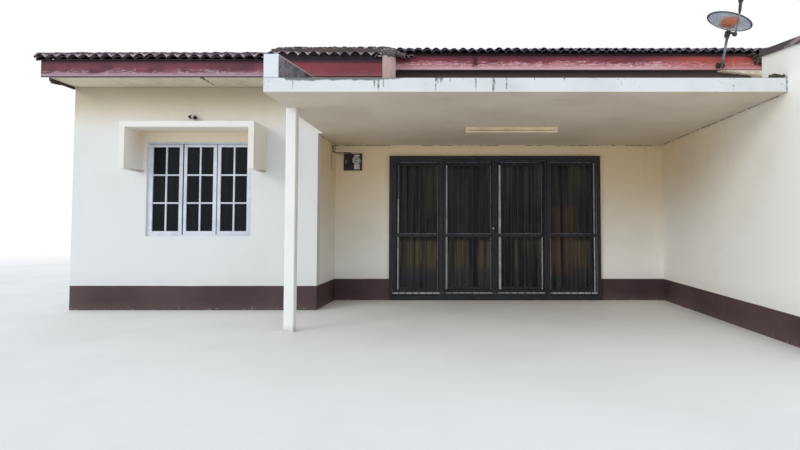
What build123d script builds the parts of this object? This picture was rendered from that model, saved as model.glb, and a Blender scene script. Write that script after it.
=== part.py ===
# Single-storey tiled house: a front room beside a porch under a flat concrete canopy, with a plain party wall.
# Millimetres. X runs along the front to the right, Y runs from the street into the house, Z is up.
# The origin is on the ground, under the middle of the whole house.

import os
from math import cos, radians, sin, sqrt, tan

from build123d import *

# Plan of the house
room_width = 3415  # front room, outside face to porch face
porch_width = 5200  # from the front room to the wing wall
wall = 150  # plastered brick wall
wing_thickness = 225  # wing wall beside the porch
beyond_wing = 1230  # house behind the wing wall, up to the party wall's inside
party_thickness = 225
room_projection = 1100  # front room's front wall, forward of the porch's back wall
canopy_reach = 3470  # canopy's front edge, forward of the porch's back wall
wing_reach = 820  # wing wall's front end, forward of the canopy
house_depth = 7520  # porch's back wall to the rear wall, outside faces
floor_level = 100  # finished floor above the ground

# Roof
pitch = 17.4  # degrees, both slopes
eaves_level = 3330  # underside of the tiles at the front edge of the front room's roof
eaves_reach = 550  # front room's wall to the tiles' edge
high_eaves_reach = 140  # porch's back wall to the tiles' edge above it
roof_thickness = 75  # tiles, battens and felt together
roof_raise = 75  # right-hand roof's underside above the left-hand one's
high_roof_thickness = 80
verge_reach = 185  # tiles past the gable wall
verge_drip = 70  # tiles past the bargeboard
party_verge_reach = 70  # tiles past the party wall
break_before_porch = 556  # the raised roof starts this far to the left of the porch
eaves_past_porch = 963  # the low eaves run on this far over the porch
ridge_width = 260
ridge_rise = 80
board = 25  # fascias and bargeboards
tile_drip = 50  # tiles past the fascias
fascia_depth = 225
high_fascia_depth = 252
bargeboard_depth = 200
soffit_level = 3110
soffit_sheet = 12
ceiling_sheet = 12

# Canopy over the porch
canopy_soffit = 2460
canopy_thickness = 140
canopy_left = 70  # canopy's left edge, clear of the front room's porch face
kerb_width = 145
kerb_front_height = 236  # above the canopy
kerb_rise = 0.1  # kerb's fall to the front, as a slope
column = 112  # square post at the canopy's left corner
column_setback = 715  # post's front face behind the canopy's front edge
column_chamfer = 8

# Wing wall's raised front
raised_run = 1280  # raised part's length
raised_front_height = 200  # above the canopy
raised_slope = 0.12
coping_thickness = 60
coping_lip = 25

# Windows
window_width = 1460
window_height = 1318
window_sill = 1021
window_offset = 1029  # front window's left side from the gable's outside
window_frame = 35
sash_frame = 35
sash_depth = 45
window_setback = 30
glass = 6
side_window_y = 1500  # middle of the gable's window, behind the house's middle
rear_window_spacing = 4600
hood_width = 1780
hood_shift = 43  # hood's middle to the right of the window's middle
hood_thickness = 75
hood_reach = 470
hood_top = 2542
hood_bottom = 1915

# Doorway with sliding glass doors
door_offset = 914  # doorway's left side from the front room's porch face
door_width = 3241
door_head_drop = 230  # doorway's head under the canopy
door_frame = 50
door_frame_depth = 100
door_frame_setback = 20
panel_stile = 45
panel_depth = 30
panel_overlap = 50
panel_gap = 8
panel_spacing = 12
mid_rail_level = 1020
rail_height = 45
track_height = 8
track_width = 6
track_clearance = 14
shoe_length = 60
running_gap = 0.3

# Steel grille in front of the doorway
grille_lap = 49.5  # grille past the doorway, each side
grille_foot = 18
grille_top_drop = 181  # grille's top under the canopy
grille_tube = 50
leaf_tube = 32
grille_bar = 12
post_offset = 850  # hinge posts from the grille's middle
leaf_gap = 8
leaf_bars = 6
side_bars = 6
barrel_radius = 9
pin_radius = 5
pin_clearance = 0.3
knuckle = 45
hinge_plate = 6
hinge_shares = (0.138, 0.5, 0.863)  # of the grille's height
lock_width = 55
lock_height = 110
lock_depth = 40
lock_level = 1075

# Lamp under the canopy
lamp_length = 1210
lamp_setback = 1940  # lamp's middle behind the canopy's front edge
lamp_offset = 2670  # lamp's middle from the front room's porch face
batten_width = 60
batten_depth = 32
tube_radius = 13
tube_drop = 50
lamp_end = 24

# Meter board and cable bracket at the porch's left end
meter_board_width = 290
meter_board_height = 270
meter_board_depth = 22
meter_board_drop = 410  # board's foot under the canopy
fuse_width = 80
fuse_height = 120
fuse_depth = 38
fuse_inset = 25
fuse_drop = 60
terminal_box = 80
terminal_depth = 33
terminal_inset = 15
dial_inset = 20
meter_offset = 135  # from the front room's porch face
dial_radius = 58
dial_depth = 85
bracket_setback = 210  # bracket's middle in front of the porch's back wall
bracket_drop = 95  # bracket's middle under the canopy
bracket_width = 120
bracket_height = 110
bracket_depth = 30
spool_radius = 24
spool_length = 45
spool_spacing = 60

# Small lamp over the front window
spot_offset = 1692  # from the gable's outside
spot_level = 2670
spot_rose_radius = 42
spot_rose_depth = 24
spot_stem_radius = 13
spot_reach = 90
spot_head_radius = 32
spot_head_length = 110

# Satellite dish
dish_radius = 345
dish_sag = 70
dish_bands = 3  # conical bands that the bowl is pressed in
dish_sheet = 4
dish_lean = 20  # degrees between the dish's axis and the vertical
dish_bearing = -10  # degrees, the way that it leans, from +X towards +Y
dish_standoff = 85
dish_block = 80
mast_radius = 21
mast_height = 590
mast_lean = 8.5  # degrees, towards the party wall
arm_bracket = 125  # bracket from the mount's side to the feed arm's foot
arm_bracket_level = 50  # up the mount
arm_bracket_width = 40
arm_bracket_thickness = 26
arm_radius = 11
arm_knee = (-11, -375, 21)  # from the bowl's middle
arm_tip = (-87, -587, 143)
feed_radius = 36
feed_length = 95
mast_inset = 858  # mast's foot from the right verge
mast_clearance = 24  # mast in front of the tiles' edge
mast_clamp = 100

# Places worked out from the sizes above
door_head = canopy_soffit - door_head_drop
grille_top = canopy_soffit - grille_top_drop
grille_width = door_width + 2 * grille_lap
hinge_levels = [grille_foot + share * (grille_top - grille_foot) for share in hinge_shares]
meter_board_level = canopy_soffit - meter_board_drop
x_verge = -(
    verge_reach + room_width + porch_width + wing_thickness + beyond_wing + party_thickness + party_verge_reach
) / 2
x_left = x_verge + verge_reach
x_corner = x_left + room_width
x_wing = x_corner + porch_width
x_wing_far = x_wing + wing_thickness
x_party = x_wing_far + beyond_wing
x_right = x_party + party_thickness
x_right_verge = x_right + party_verge_reach
x_break = x_corner - break_before_porch
x_eaves_end = x_corner + eaves_past_porch

y_rear_edge = (wing_reach + canopy_reach + house_depth + eaves_reach) / 2
y_end = -y_rear_edge
y_canopy = y_end + wing_reach
y_porch = y_canopy + canopy_reach
y_porch_inside = y_porch + wall
y_room = y_porch - room_projection
y_room_inside = y_room + wall
y_rear = y_porch + house_depth
y_rear_inside = y_rear - wall
y_edge = y_room - eaves_reach
y_high_edge = y_porch - high_eaves_reach
y_ridge = (y_edge + y_rear_edge) / 2
slope = tan(radians(pitch))
canopy_top = canopy_soffit + canopy_thickness
raised_front_top = canopy_top + raised_front_height
door_x = (x_corner + door_offset, x_corner + door_offset + door_width)
door_middle = sum(door_x) / 2

os.makedirs("parts", exist_ok=True)


def roof_underside(y, raised=0):
    """Height of the roof's underside at a depth, on the left-hand roof or the raised one."""
    return eaves_level + raised + slope * min(y - y_edge, y_rear_edge - y)


def box_between(x, y, z, mode=Mode.ADD):
    """A rectangular block between three pairs of coordinates, in the part being built."""
    with BuildSketch(Plane.XY.offset(z[0])) as outline:
        with Locations(((x[0] + x[1]) / 2, (y[0] + y[1]) / 2)):
            Rectangle(x[1] - x[0], y[1] - y[0])
    extrude(outline.sketch, amount=z[1] - z[0], mode=mode)


def side_profile(points, x, mode=Mode.ADD):
    """A solid whose outline is given as depths and heights, run from one X to another."""
    with BuildSketch(Plane.YZ.offset(x[0])) as outline:
        with BuildLine():
            Polyline(*points, close=True)
        make_face()
    extrude(outline.sketch, amount=x[1] - x[0], mode=mode)


def raked_wall(x, y, z=0, raised=0):
    """A wall from height z up to the roof's underside, with its top cut to the roof."""
    top = [(y[1], roof_underside(y[1], raised)), (y[0], roof_underside(y[0], raised))]
    if y[0] < y_ridge < y[1]:
        top.insert(1, (y_ridge, roof_underside(y_ridge, raised)))
    side_profile([(y[0], z), (y[1], z), *top], x)


def wall_face(x, y, outward):
    """A drawing plane on a wall's outside, its first axis level and its second axis up."""
    return Plane(origin=(x, y, 0), x_dir=Vector(0, 0, 1).cross(Vector(*outward)), z_dir=outward)


window_z = (window_sill, window_sill + window_height)
front_window = [wall_face(x_left + window_offset + window_width / 2, y_room, (0, -1, 0))]
side_window = [wall_face(x_left, side_window_y, (-1, 0, 0))]
rear_windows = [
    wall_face((x_left + x_party + side * rear_window_spacing) / 2, y_rear, (0, 1, 0)) for side in (-1, 1)
]


def cut_windows(faces):
    """Window openings through the wall being built."""
    for face in faces:
        with BuildSketch(face) as opening:
            with Locations((0, sum(window_z) / 2)):
                Rectangle(window_width, window_height)
        extrude(opening.sketch, amount=-wall, mode=Mode.SUBTRACT)


# Floor and walls

with BuildPart() as floor_slab:
    box_between((x_left + wall, x_party), (y_porch_inside, y_rear_inside), (0, floor_level))
    box_between((x_left + wall, x_corner - wall), (y_room_inside, y_porch_inside), (0, floor_level))
    box_between(door_x, (y_porch, y_porch_inside), (0, floor_level))
floor_slab.part.label = "floor_slab"
export_step(floor_slab.part, "parts/floor_slab.step")

with BuildPart() as front_wall:
    raked_wall((x_left, x_break), (y_room, y_room_inside))
    raked_wall((x_break, x_corner), (y_room, y_room_inside), raised=roof_raise)
    cut_windows(front_window)
front_wall.part.label = "front_wall"
export_step(front_wall.part, "parts/front_wall.step")

with BuildPart() as gable_wall:
    raked_wall((x_left, x_left + wall), (y_room_inside, y_rear_inside))
    cut_windows(side_window)
gable_wall.part.label = "gable_wall"
export_step(gable_wall.part, "parts/gable_wall.step")

with BuildPart() as rear_wall:
    raked_wall((x_left, x_break), (y_rear_inside, y_rear))
    raked_wall((x_break, x_party), (y_rear_inside, y_rear), raised=roof_raise)
    cut_windows(rear_windows)
rear_wall.part.label = "rear_wall"
export_step(rear_wall.part, "parts/rear_wall.step")

with BuildPart() as porch_side_wall:
    raked_wall((x_corner - wall, x_corner), (y_room_inside, y_porch_inside), raised=roof_raise)
porch_side_wall.part.label = "porch_side_wall"
export_step(porch_side_wall.part, "parts/porch_side_wall.step")

with BuildPart() as entrance_wall_left:
    raked_wall((x_corner, door_x[0]), (y_porch, y_porch_inside), raised=roof_raise)
entrance_wall_left.part.label = "entrance_wall_left"
export_step(entrance_wall_left.part, "parts/entrance_wall_left.step")

with BuildPart() as entrance_wall_right:
    raked_wall((door_x[1], x_party), (y_porch, y_porch_inside), raised=roof_raise)
entrance_wall_right.part.label = "entrance_wall_right"
export_step(entrance_wall_right.part, "parts/entrance_wall_right.step")

with BuildPart() as entrance_wall_top:
    raked_wall(door_x, (y_porch, y_porch_inside), door_head, roof_raise)
entrance_wall_top.part.label = "entrance_wall_top"
export_step(entrance_wall_top.part, "parts/entrance_wall_top.step")

with BuildPart() as party_wall:
    raked_wall((x_party, x_right), (y_porch, y_rear), raised=roof_raise)
party_wall.part.label = "party_wall"
export_step(party_wall.part, "parts/party_wall.step")

# Wing wall: plain under the canopy, raised at its front end and capped there
raised_end = y_end + raised_run
raised_top = raised_front_top + raised_slope * raised_run
with BuildPart() as wing_wall:
    side_profile(
        [
            (y_end, 0),
            (y_porch, 0),
            (y_porch, canopy_top),
            (raised_end, canopy_top),
            (raised_end, raised_top),
            (y_end, raised_front_top),
        ],
        (x_wing, x_wing_far),
    )
wing_wall.part.label = "wing_wall"
export_step(wing_wall.part, "parts/wing_wall.step")

with BuildPart() as wing_coping:
    side_profile(
        [
            (y_end, raised_front_top),
            (raised_end, raised_top),
            (raised_end, raised_top + coping_thickness),
            (y_end, raised_front_top + coping_thickness),
        ],
        (x_wing - coping_lip, x_wing_far + coping_lip),
    )
wing_coping.part.label = "wing_wall_coping"
export_step(wing_coping.part, "parts/wing_wall_coping.step")

with BuildPart() as ceiling:
    ceiling_z = (soffit_level, soffit_level + ceiling_sheet)
    box_between((x_left + wall, x_party), (y_porch_inside, y_rear_inside), ceiling_z)
    box_between((x_left + wall, x_corner - wall), (y_room_inside, y_porch_inside), ceiling_z)
ceiling.part.label = "ceiling"
export_step(ceiling.part, "parts/ceiling.step")

# Canopy slab, the kerb along its left edge and the post under it
canopy_edge = x_corner + canopy_left
with BuildPart() as canopy:
    box_between((canopy_edge, x_wing), (y_canopy, y_room), (canopy_soffit, canopy_top))
    box_between((x_corner, x_wing), (y_room, y_porch), (canopy_soffit, canopy_top))
canopy.part.label = "porch_canopy"
export_step(canopy.part, "parts/porch_canopy.step")

kerb_end = y_edge - tile_drip
with BuildPart() as kerb:
    side_profile(
        [
            (y_canopy, canopy_top),
            (kerb_end, canopy_top),
            (kerb_end, canopy_top + kerb_front_height + kerb_rise * (kerb_end - y_canopy)),
            (y_canopy, canopy_top + kerb_front_height),
        ],
        (canopy_edge, canopy_edge + kerb_width),
    )
kerb.part.label = "canopy_kerb"
export_step(kerb.part, "parts/canopy_kerb.step")

with BuildPart() as post:
    post_y = y_canopy + column_setback
    box_between((canopy_edge, canopy_edge + column), (post_y, post_y + column), (0, canopy_soffit))
    chamfer(post.edges().filter_by(Axis.Z), column_chamfer)
post.part.label = "porch_column"
export_step(post.part, "parts/porch_column.step")

# Roof slopes, ridge and boards


def roof_plate(x, y, raised=0, thickness=roof_thickness):
    """Part of a roof slope between two depths on one side of the ridge."""
    under = [(depth, roof_underside(depth, raised)) for depth in y]
    over = [(depth, height + thickness) for depth, height in reversed(under)]
    side_profile([*under, *over], x)


with BuildPart() as roof_left_front:
    roof_plate((x_verge, x_break), (y_edge, y_ridge))
roof_left_front.part.label = "roof_left_front"
export_step(roof_left_front.part, "parts/roof_left_front.step")

with BuildPart() as roof_left_rear:
    roof_plate((x_verge, x_break), (y_ridge, y_rear_edge))
roof_left_rear.part.label = "roof_left_rear"
export_step(roof_left_rear.part, "parts/roof_left_rear.step")

with BuildPart() as roof_right_front:
    roof_plate((x_break, x_eaves_end), (y_edge, y_ridge), roof_raise, high_roof_thickness)
    roof_plate((x_eaves_end, x_right_verge), (y_high_edge, y_ridge), roof_raise, high_roof_thickness)
roof_right_front.part.label = "roof_right_front"
export_step(roof_right_front.part, "parts/roof_right_front.step")

with BuildPart() as roof_right_rear:
    roof_plate((x_break, x_right_verge), (y_ridge, y_rear_edge), roof_raise, high_roof_thickness)
roof_right_rear.part.label = "roof_right_rear"
export_step(roof_right_rear.part, "parts/roof_right_rear.step")

with BuildPart() as ridge:
    low_top = roof_underside(y_ridge) + roof_thickness
    high_top = roof_underside(y_ridge, roof_raise) + high_roof_thickness
    for x, ridge_base in (((x_verge, x_break), low_top), ((x_break, x_right_verge), high_top)):
        foot = ridge_base - slope * ridge_width / 2
        with BuildSketch(Plane.YZ.offset(x[0])) as cap:
            with BuildLine():
                feet = [(y_ridge + side * ridge_width / 2, foot) for side in (1, -1)]
                Polyline(feet[0], (y_ridge, ridge_base), feet[1])
                ThreePointArc(feet[1], (y_ridge, ridge_base + ridge_rise), feet[0])
            make_face()
        extrude(cap.sketch, amount=x[1] - x[0])
ridge.part.label = "ridge_cap"
export_step(ridge.part, "parts/ridge_cap.step")

y_fascia = y_edge + tile_drip
y_high_fascia = y_high_edge + tile_drip
y_rear_fascia = y_rear_edge - tile_drip
x_barge = x_verge + verge_drip
fascia_top = roof_underside(y_fascia)
high_fascia_top = roof_underside(y_high_fascia, roof_raise)

with BuildPart() as front_fascia:
    box_between((x_barge, x_eaves_end), (y_fascia, y_fascia + board), (fascia_top - fascia_depth, fascia_top))
front_fascia.part.label = "front_fascia"
export_step(front_fascia.part, "parts/front_fascia.step")

with BuildPart() as tilting_fillet:
    side_profile(
        [
            (y_fascia, roof_underside(y_fascia, roof_raise)),
            (y_fascia, fascia_top),
            (y_fascia + board, fascia_top),
            (y_fascia + board, roof_underside(y_fascia + board, roof_raise)),
        ],
        (x_break, x_eaves_end),
    )
tilting_fillet.part.label = "tilting_fillet"
export_step(tilting_fillet.part, "parts/tilting_fillet.step")

with BuildPart() as high_fascia:
    box_between(
        (x_eaves_end, x_right),
        (y_high_fascia, y_high_fascia + board),
        (high_fascia_top - high_fascia_depth, high_fascia_top),
    )
high_fascia.part.label = "porch_fascia"
export_step(high_fascia.part, "parts/porch_fascia.step")

with BuildPart() as return_board:
    side_profile(
        [
            (y_fascia + board, soffit_level),
            (y_high_fascia, soffit_level),
            (y_high_fascia, high_fascia_top),
            (y_fascia + board, roof_underside(y_fascia + board, roof_raise)),
        ],
        (x_eaves_end - board, x_eaves_end),
    )
return_board.part.label = "eaves_return_board"
export_step(return_board.part, "parts/eaves_return_board.step")

with BuildPart() as rear_fascia:
    rear_fascia_y = (y_rear_fascia - board, y_rear_fascia)
    box_between((x_barge, x_right), rear_fascia_y, (fascia_top - fascia_depth, fascia_top))
    box_between((x_break, x_right), rear_fascia_y, (fascia_top, fascia_top + roof_raise))
rear_fascia.part.label = "rear_fascia"
export_step(rear_fascia.part, "parts/rear_fascia.step")

with BuildPart() as bargeboard:
    for outer in (y_fascia + board, y_rear_fascia - board):
        side_profile(
            [
                (outer, roof_underside(outer) - bargeboard_depth),
                (y_ridge, roof_underside(y_ridge) - bargeboard_depth),
                (y_ridge, roof_underside(y_ridge)),
                (outer, roof_underside(outer)),
            ],
            (x_barge, x_barge + board),
        )
bargeboard.part.label = "gable_bargeboard"
export_step(bargeboard.part, "parts/gable_bargeboard.step")

soffit_z = (soffit_level, soffit_level + soffit_sheet)
with BuildPart() as front_soffit:
    box_between((x_left, x_corner), (y_fascia + board, y_room), soffit_z)
    box_between((x_corner, x_eaves_end - board), (y_fascia + board, y_porch), soffit_z)
front_soffit.part.label = "front_soffit"
export_step(front_soffit.part, "parts/front_soffit.step")

with BuildPart() as rear_soffit:
    box_between((x_left, x_right), (y_rear, y_rear_fascia - board), soffit_z)
rear_soffit.part.label = "rear_soffit"
export_step(rear_soffit.part, "parts/rear_soffit.step")

# Windows: an outer frame with three casements, and their glass
pane_z = (window_z[0] + window_frame, window_z[1] - window_frame)
pane_height = pane_z[1] - pane_z[0]
casement = (window_width - 4 * window_frame) / 3
casement_places = [(n * (casement + window_frame), sum(pane_z) / 2) for n in (-1, 0, 1)]


def window_frames(faces):
    """The fixed frame of each window, with an opening for each casement."""
    for face in faces:
        with BuildSketch(face.offset(-window_setback)) as outline:
            with Locations((0, sum(window_z) / 2)):
                Rectangle(window_width, window_height)
            with Locations(*casement_places):
                Rectangle(casement, pane_height, mode=Mode.SUBTRACT)
        extrude(outline.sketch, amount=-sash_depth)


def casements(faces):
    """Three casement frames in each window."""
    for face in faces:
        with BuildSketch(face.offset(-window_setback)) as outline:
            with Locations(*casement_places):
                Rectangle(casement, pane_height)
                Rectangle(casement - 2 * sash_frame, pane_height - 2 * sash_frame, mode=Mode.SUBTRACT)
        extrude(outline.sketch, amount=-sash_depth)


def casement_glass(faces):
    """A sheet of glass in each casement."""
    for face in faces:
        with BuildSketch(face.offset(-window_setback - (sash_depth - glass) / 2)) as outline:
            with Locations(*casement_places):
                Rectangle(casement - 2 * sash_frame, pane_height - 2 * sash_frame)
        extrude(outline.sketch, amount=-glass)


for title, faces in (("front", front_window), ("plain", side_window + rear_windows)):
    with BuildPart() as frames:
        window_frames(faces)
    frames.part.label = f"{title}_window_frame"
    export_step(frames.part, f"parts/{title}_window_frame.step")
    with BuildPart() as sashes:
        casements(faces)
    sashes.part.label = f"{title}_window_casements"
    export_step(sashes.part, f"parts/{title}_window_casements.step")
    with BuildPart() as panes:
        casement_glass(faces)
    panes.part.label = f"{title}_window_glass"
    export_step(panes.part, f"parts/{title}_window_glass.step")

with BuildPart() as hood:
    hood_inside = hood_width - 2 * hood_thickness
    with BuildSketch(front_window[0]) as outline:
        with Locations((hood_shift, (hood_bottom + hood_top) / 2)):
            Rectangle(hood_width, hood_top - hood_bottom)
        with Locations((hood_shift, (hood_bottom + hood_top - hood_thickness) / 2)):
            Rectangle(hood_inside, hood_top - hood_bottom - hood_thickness, mode=Mode.SUBTRACT)
    extrude(outline.sketch, amount=hood_reach)
hood.part.label = "window_hood"
export_step(hood.part, "parts/window_hood.step")

# Sliding glass doors: a fixed panel at each side, behind two sliding panels in the middle


def ring(x, y, z, width):
    """A rectangular frame standing across the doorway, of members of one width."""
    box_between(x, y, z)
    box_between((x[0] + width, x[1] - width), y, (z[0] + width, z[1] - width), mode=Mode.SUBTRACT)


door_z = (floor_level, door_head)
frame_y = (y_porch + door_frame_setback, y_porch + door_frame_setback + door_frame_depth)
clear_x = (door_x[0] + door_frame, door_x[1] - door_frame)
clear_z = (door_z[0] + door_frame, door_z[1] - door_frame)
slide_y = (frame_y[0] + panel_spacing, frame_y[0] + panel_spacing + panel_depth)
fixed_y = (slide_y[1] + panel_spacing, slide_y[1] + panel_spacing + panel_depth)
panel_width = ((clear_x[1] - clear_x[0]) / 2 + panel_overlap) / 2
track_middle = sum(slide_y) / 2
track_y = (track_middle - track_width / 2, track_middle + track_width / 2)
rail_z = (mid_rail_level - rail_height / 2, mid_rail_level + rail_height / 2)

with BuildPart() as door_surround:
    ring(door_x, frame_y, door_z, door_frame)
    box_between(clear_x, track_y, (clear_z[0], clear_z[0] + track_height))
    box_between(clear_x, track_y, (clear_z[1] - track_height, clear_z[1]))
door_surround.part.label = "door_frame"
export_step(door_surround.part, "parts/door_frame.step")


def panel_frame(x, y, z):
    """A door panel's frame with its middle rail, in the part being built."""
    ring(x, y, z, panel_stile)
    box_between((x[0] + panel_stile, x[1] - panel_stile), y, rail_z)


def panel_glass(x, y, z):
    """A door panel's upper and lower sheets of glass, in the part being built."""
    inside = (x[0] + panel_stile, x[1] - panel_stile)
    sheet = (sum(y) / 2 - glass / 2, sum(y) / 2 + glass / 2)
    box_between(inside, sheet, (z[0] + panel_stile, rail_z[0]))
    box_between(inside, sheet, (rail_z[1], z[1] - panel_stile))


fixed_x = [(clear_x[0], clear_x[0] + panel_width), (clear_x[1] - panel_width, clear_x[1])]
with BuildPart() as fixed_panels:
    for x in fixed_x:
        panel_frame(x, fixed_y, clear_z)
fixed_panels.part.label = "fixed_door_panels"
export_step(fixed_panels.part, "parts/fixed_door_panels.step")

with BuildPart() as fixed_glass:
    for x in fixed_x:
        panel_glass(x, fixed_y, clear_z)
fixed_glass.part.label = "fixed_door_glass"
export_step(fixed_glass.part, "parts/fixed_door_glass.step")

slide_z = (clear_z[0] + track_clearance, clear_z[1] - track_clearance)
shoe_z = (clear_z[0] + track_height + running_gap, slide_z[0])
slide_x = {
    "left": (fixed_x[0][1] - panel_overlap, door_middle - panel_gap / 2),
    "right": (door_middle + panel_gap / 2, fixed_x[1][0] + panel_overlap),
}
for hand, x in slide_x.items():
    with BuildPart() as panel:
        panel_frame(x, slide_y, slide_z)
        for shoe in (x[0] + shoe_length, x[1] - 2 * shoe_length):
            box_between((shoe, shoe + shoe_length), track_y, shoe_z)
    panel.part.label = f"sliding_door_{hand}"
    export_step(panel.part, f"parts/sliding_door_{hand}.step")
    with BuildPart() as sheets:
        panel_glass(x, slide_y, slide_z)
    sheets.part.label = f"sliding_door_glass_{hand}"
    export_step(sheets.part, f"parts/sliding_door_glass_{hand}.step")

# Steel grille: a fixed frame with two side panels, and two hinged leaves
grille_x = (door_middle - grille_width / 2, door_middle + grille_width / 2)
grille_z = (grille_foot, grille_top)
grille_y = (y_porch - grille_tube, y_porch)
leaf_y = (grille_y[0], grille_y[0] + leaf_tube)
half_tube = grille_tube / 2
inner_z = (grille_z[0] + grille_tube, grille_z[1] - grille_tube)
leaf_z = (inner_z[0] + leaf_gap, inner_z[1] - leaf_gap)
leaf_rail_z = (mid_rail_level - leaf_tube / 2, mid_rail_level + leaf_tube / 2)


def upright_bars(x, y, z, count):
    """Evenly spaced square bars between two sides, from one height to another."""
    step = (x[1] - x[0]) / (count + 1)
    bar_y = (sum(y) / 2 - grille_bar / 2, sum(y) / 2 + grille_bar / 2)
    for n in range(1, count + 1):
        bar_x = x[0] + n * step
        box_between((bar_x - grille_bar / 2, bar_x + grille_bar / 2), bar_y, z)


def hinge_post(side):
    """Middle of a hinge post; side is -1 for the left leaf's post and 1 for the right one's."""
    return door_middle + side * post_offset


def hinge_pin(side):
    """Plan position of a leaf's hinge pins."""
    return hinge_post(side) - side * (half_tube + leaf_gap / 2), grille_y[0] - barrel_radius


def hinge_barrel(side, level, plate_end, bore=0):
    """One knuckle, with its plate on the front face of the post or the leaf, from a level up."""
    x_pin, y_pin = hinge_pin(side)
    with BuildSketch(Plane.XY.offset(level)) as outline:
        with Locations(((x_pin + plate_end) / 2, grille_y[0] - hinge_plate / 2)):
            Rectangle(abs(plate_end - x_pin), hinge_plate)
        with Locations((x_pin, y_pin)):
            Circle(barrel_radius)
            if bore:
                Circle(bore, mode=Mode.SUBTRACT)
    extrude(outline.sketch, amount=knuckle)


with BuildPart() as grille_frame:
    ring(grille_x, grille_y, grille_z, grille_tube)
    for side in (-1, 1):
        post_middle = hinge_post(side)
        box_between((post_middle - half_tube, post_middle + half_tube), grille_y, inner_z)
        for level in hinge_levels:
            hinge_barrel(side, level - knuckle, post_middle)
            with BuildSketch(Plane.XY.offset(level)) as pin:
                with Locations(hinge_pin(side)):
                    Circle(pin_radius)
            extrude(pin.sketch, amount=knuckle)
grille_frame.part.label = "grille_frame"
export_step(grille_frame.part, "parts/grille_frame.step")

for hand, side in (("left", -1), ("right", 1)):
    inner = hinge_post(side) + side * half_tube
    outer = door_middle + side * (grille_width / 2 - grille_tube)
    x = (min(inner, outer), max(inner, outer))
    with BuildPart() as side_panel:
        box_between(x, leaf_y, leaf_rail_z)
        upright_bars(x, leaf_y, inner_z, side_bars)
    side_panel.part.label = f"grille_side_{hand}"
    export_step(side_panel.part, f"parts/grille_side_{hand}.step")

for hand, side in (("left", -1), ("right", 1)):
    hinge_edge = hinge_post(side) - side * (half_tube + leaf_gap)
    free_edge = door_middle + side * leaf_gap / 2
    x = (min(hinge_edge, free_edge), max(hinge_edge, free_edge))
    inside = (x[0] + leaf_tube, x[1] - leaf_tube)
    with BuildPart() as leaf:
        ring(x, leaf_y, leaf_z, leaf_tube)
        box_between(inside, leaf_y, leaf_rail_z)
        upright_bars(inside, leaf_y, (leaf_z[0] + leaf_tube, leaf_z[1] - leaf_tube), leaf_bars)
        for level in hinge_levels:
            plate_end = hinge_edge - side * leaf_tube / 2
            hinge_barrel(side, level + running_gap, plate_end, pin_radius + pin_clearance)
    leaf.part.label = f"grille_leaf_{hand}"
    export_step(leaf.part, f"parts/grille_leaf_{hand}.step")

with BuildPart() as lock:
    lock_right = door_middle - leaf_gap / 2
    lock_y = (leaf_y[0] - lock_depth, leaf_y[0])
    box_between((lock_right - lock_width, lock_right), lock_y, (lock_level, lock_level + lock_height))
lock.part.label = "grille_lock"
export_step(lock.part, "parts/grille_lock.step")

# Fittings on the walls and under the canopy

with BuildPart() as lamp:
    lamp_x = (x_corner + lamp_offset - lamp_length / 2, x_corner + lamp_offset + lamp_length / 2)
    lamp_y = y_canopy + lamp_setback
    batten_y = (lamp_y - batten_width / 2, lamp_y + batten_width / 2)
    box_between(lamp_x, batten_y, (canopy_soffit - batten_depth, canopy_soffit))
    holder_z = (canopy_soffit - tube_drop - tube_radius, canopy_soffit - batten_depth)
    for end in (lamp_x[0], lamp_x[1] - lamp_end):
        box_between((end, end + lamp_end), (lamp_y - tube_radius, lamp_y + tube_radius), holder_z)
    with BuildSketch(Plane.YZ.offset(lamp_x[0] + lamp_end)) as tube:
        with Locations((lamp_y, canopy_soffit - tube_drop)):
            Circle(tube_radius)
    extrude(tube.sketch, amount=lamp_length - 2 * lamp_end)
lamp.part.label = "porch_lamp"
export_step(lamp.part, "parts/porch_lamp.step")

with BuildPart() as meter:
    meter_x = x_corner + meter_offset
    meter_y = y_porch - meter_board_depth
    meter_z = meter_board_level
    box_between((meter_x, meter_x + meter_board_width), (meter_y, y_porch), (meter_z, meter_z + meter_board_height))
    with BuildSketch(Plane.XZ.offset(-meter_y)) as dial:
        dial_x = meter_x + meter_board_width - dial_inset - dial_radius
        with Locations((dial_x, meter_z + terminal_inset + terminal_box + dial_radius)):
            Circle(dial_radius)
    extrude(dial.sketch, amount=dial_depth)
    box_between(
        (dial_x - terminal_box / 2, dial_x + terminal_box / 2),
        (meter_y - terminal_depth, meter_y),
        (meter_z + terminal_inset, meter_z + terminal_inset + terminal_box),
    )
    fuse_x = meter_x + fuse_inset
    fuse_top = meter_z + meter_board_height - fuse_drop
    box_between((fuse_x, fuse_x + fuse_width), (meter_y - fuse_depth, meter_y), (fuse_top - fuse_height, fuse_top))
meter.part.label = "meter_board"
export_step(meter.part, "parts/meter_board.step")

with BuildPart() as cable_bracket:
    bracket_y = y_porch - bracket_setback
    bracket_z = canopy_soffit - bracket_drop
    box_between(
        (x_corner, x_corner + bracket_depth),
        (bracket_y - bracket_width / 2, bracket_y + bracket_width / 2),
        (bracket_z - bracket_height / 2, bracket_z + bracket_height / 2),
    )
    with BuildSketch(Plane.YZ.offset(x_corner + bracket_depth)) as spools:
        with Locations(*[(bracket_y + side * spool_spacing / 2, bracket_z) for side in (-1, 1)]):
            Circle(spool_radius)
    extrude(spools.sketch, amount=spool_length)
cable_bracket.part.label = "cable_bracket"
export_step(cable_bracket.part, "parts/cable_bracket.step")

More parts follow.
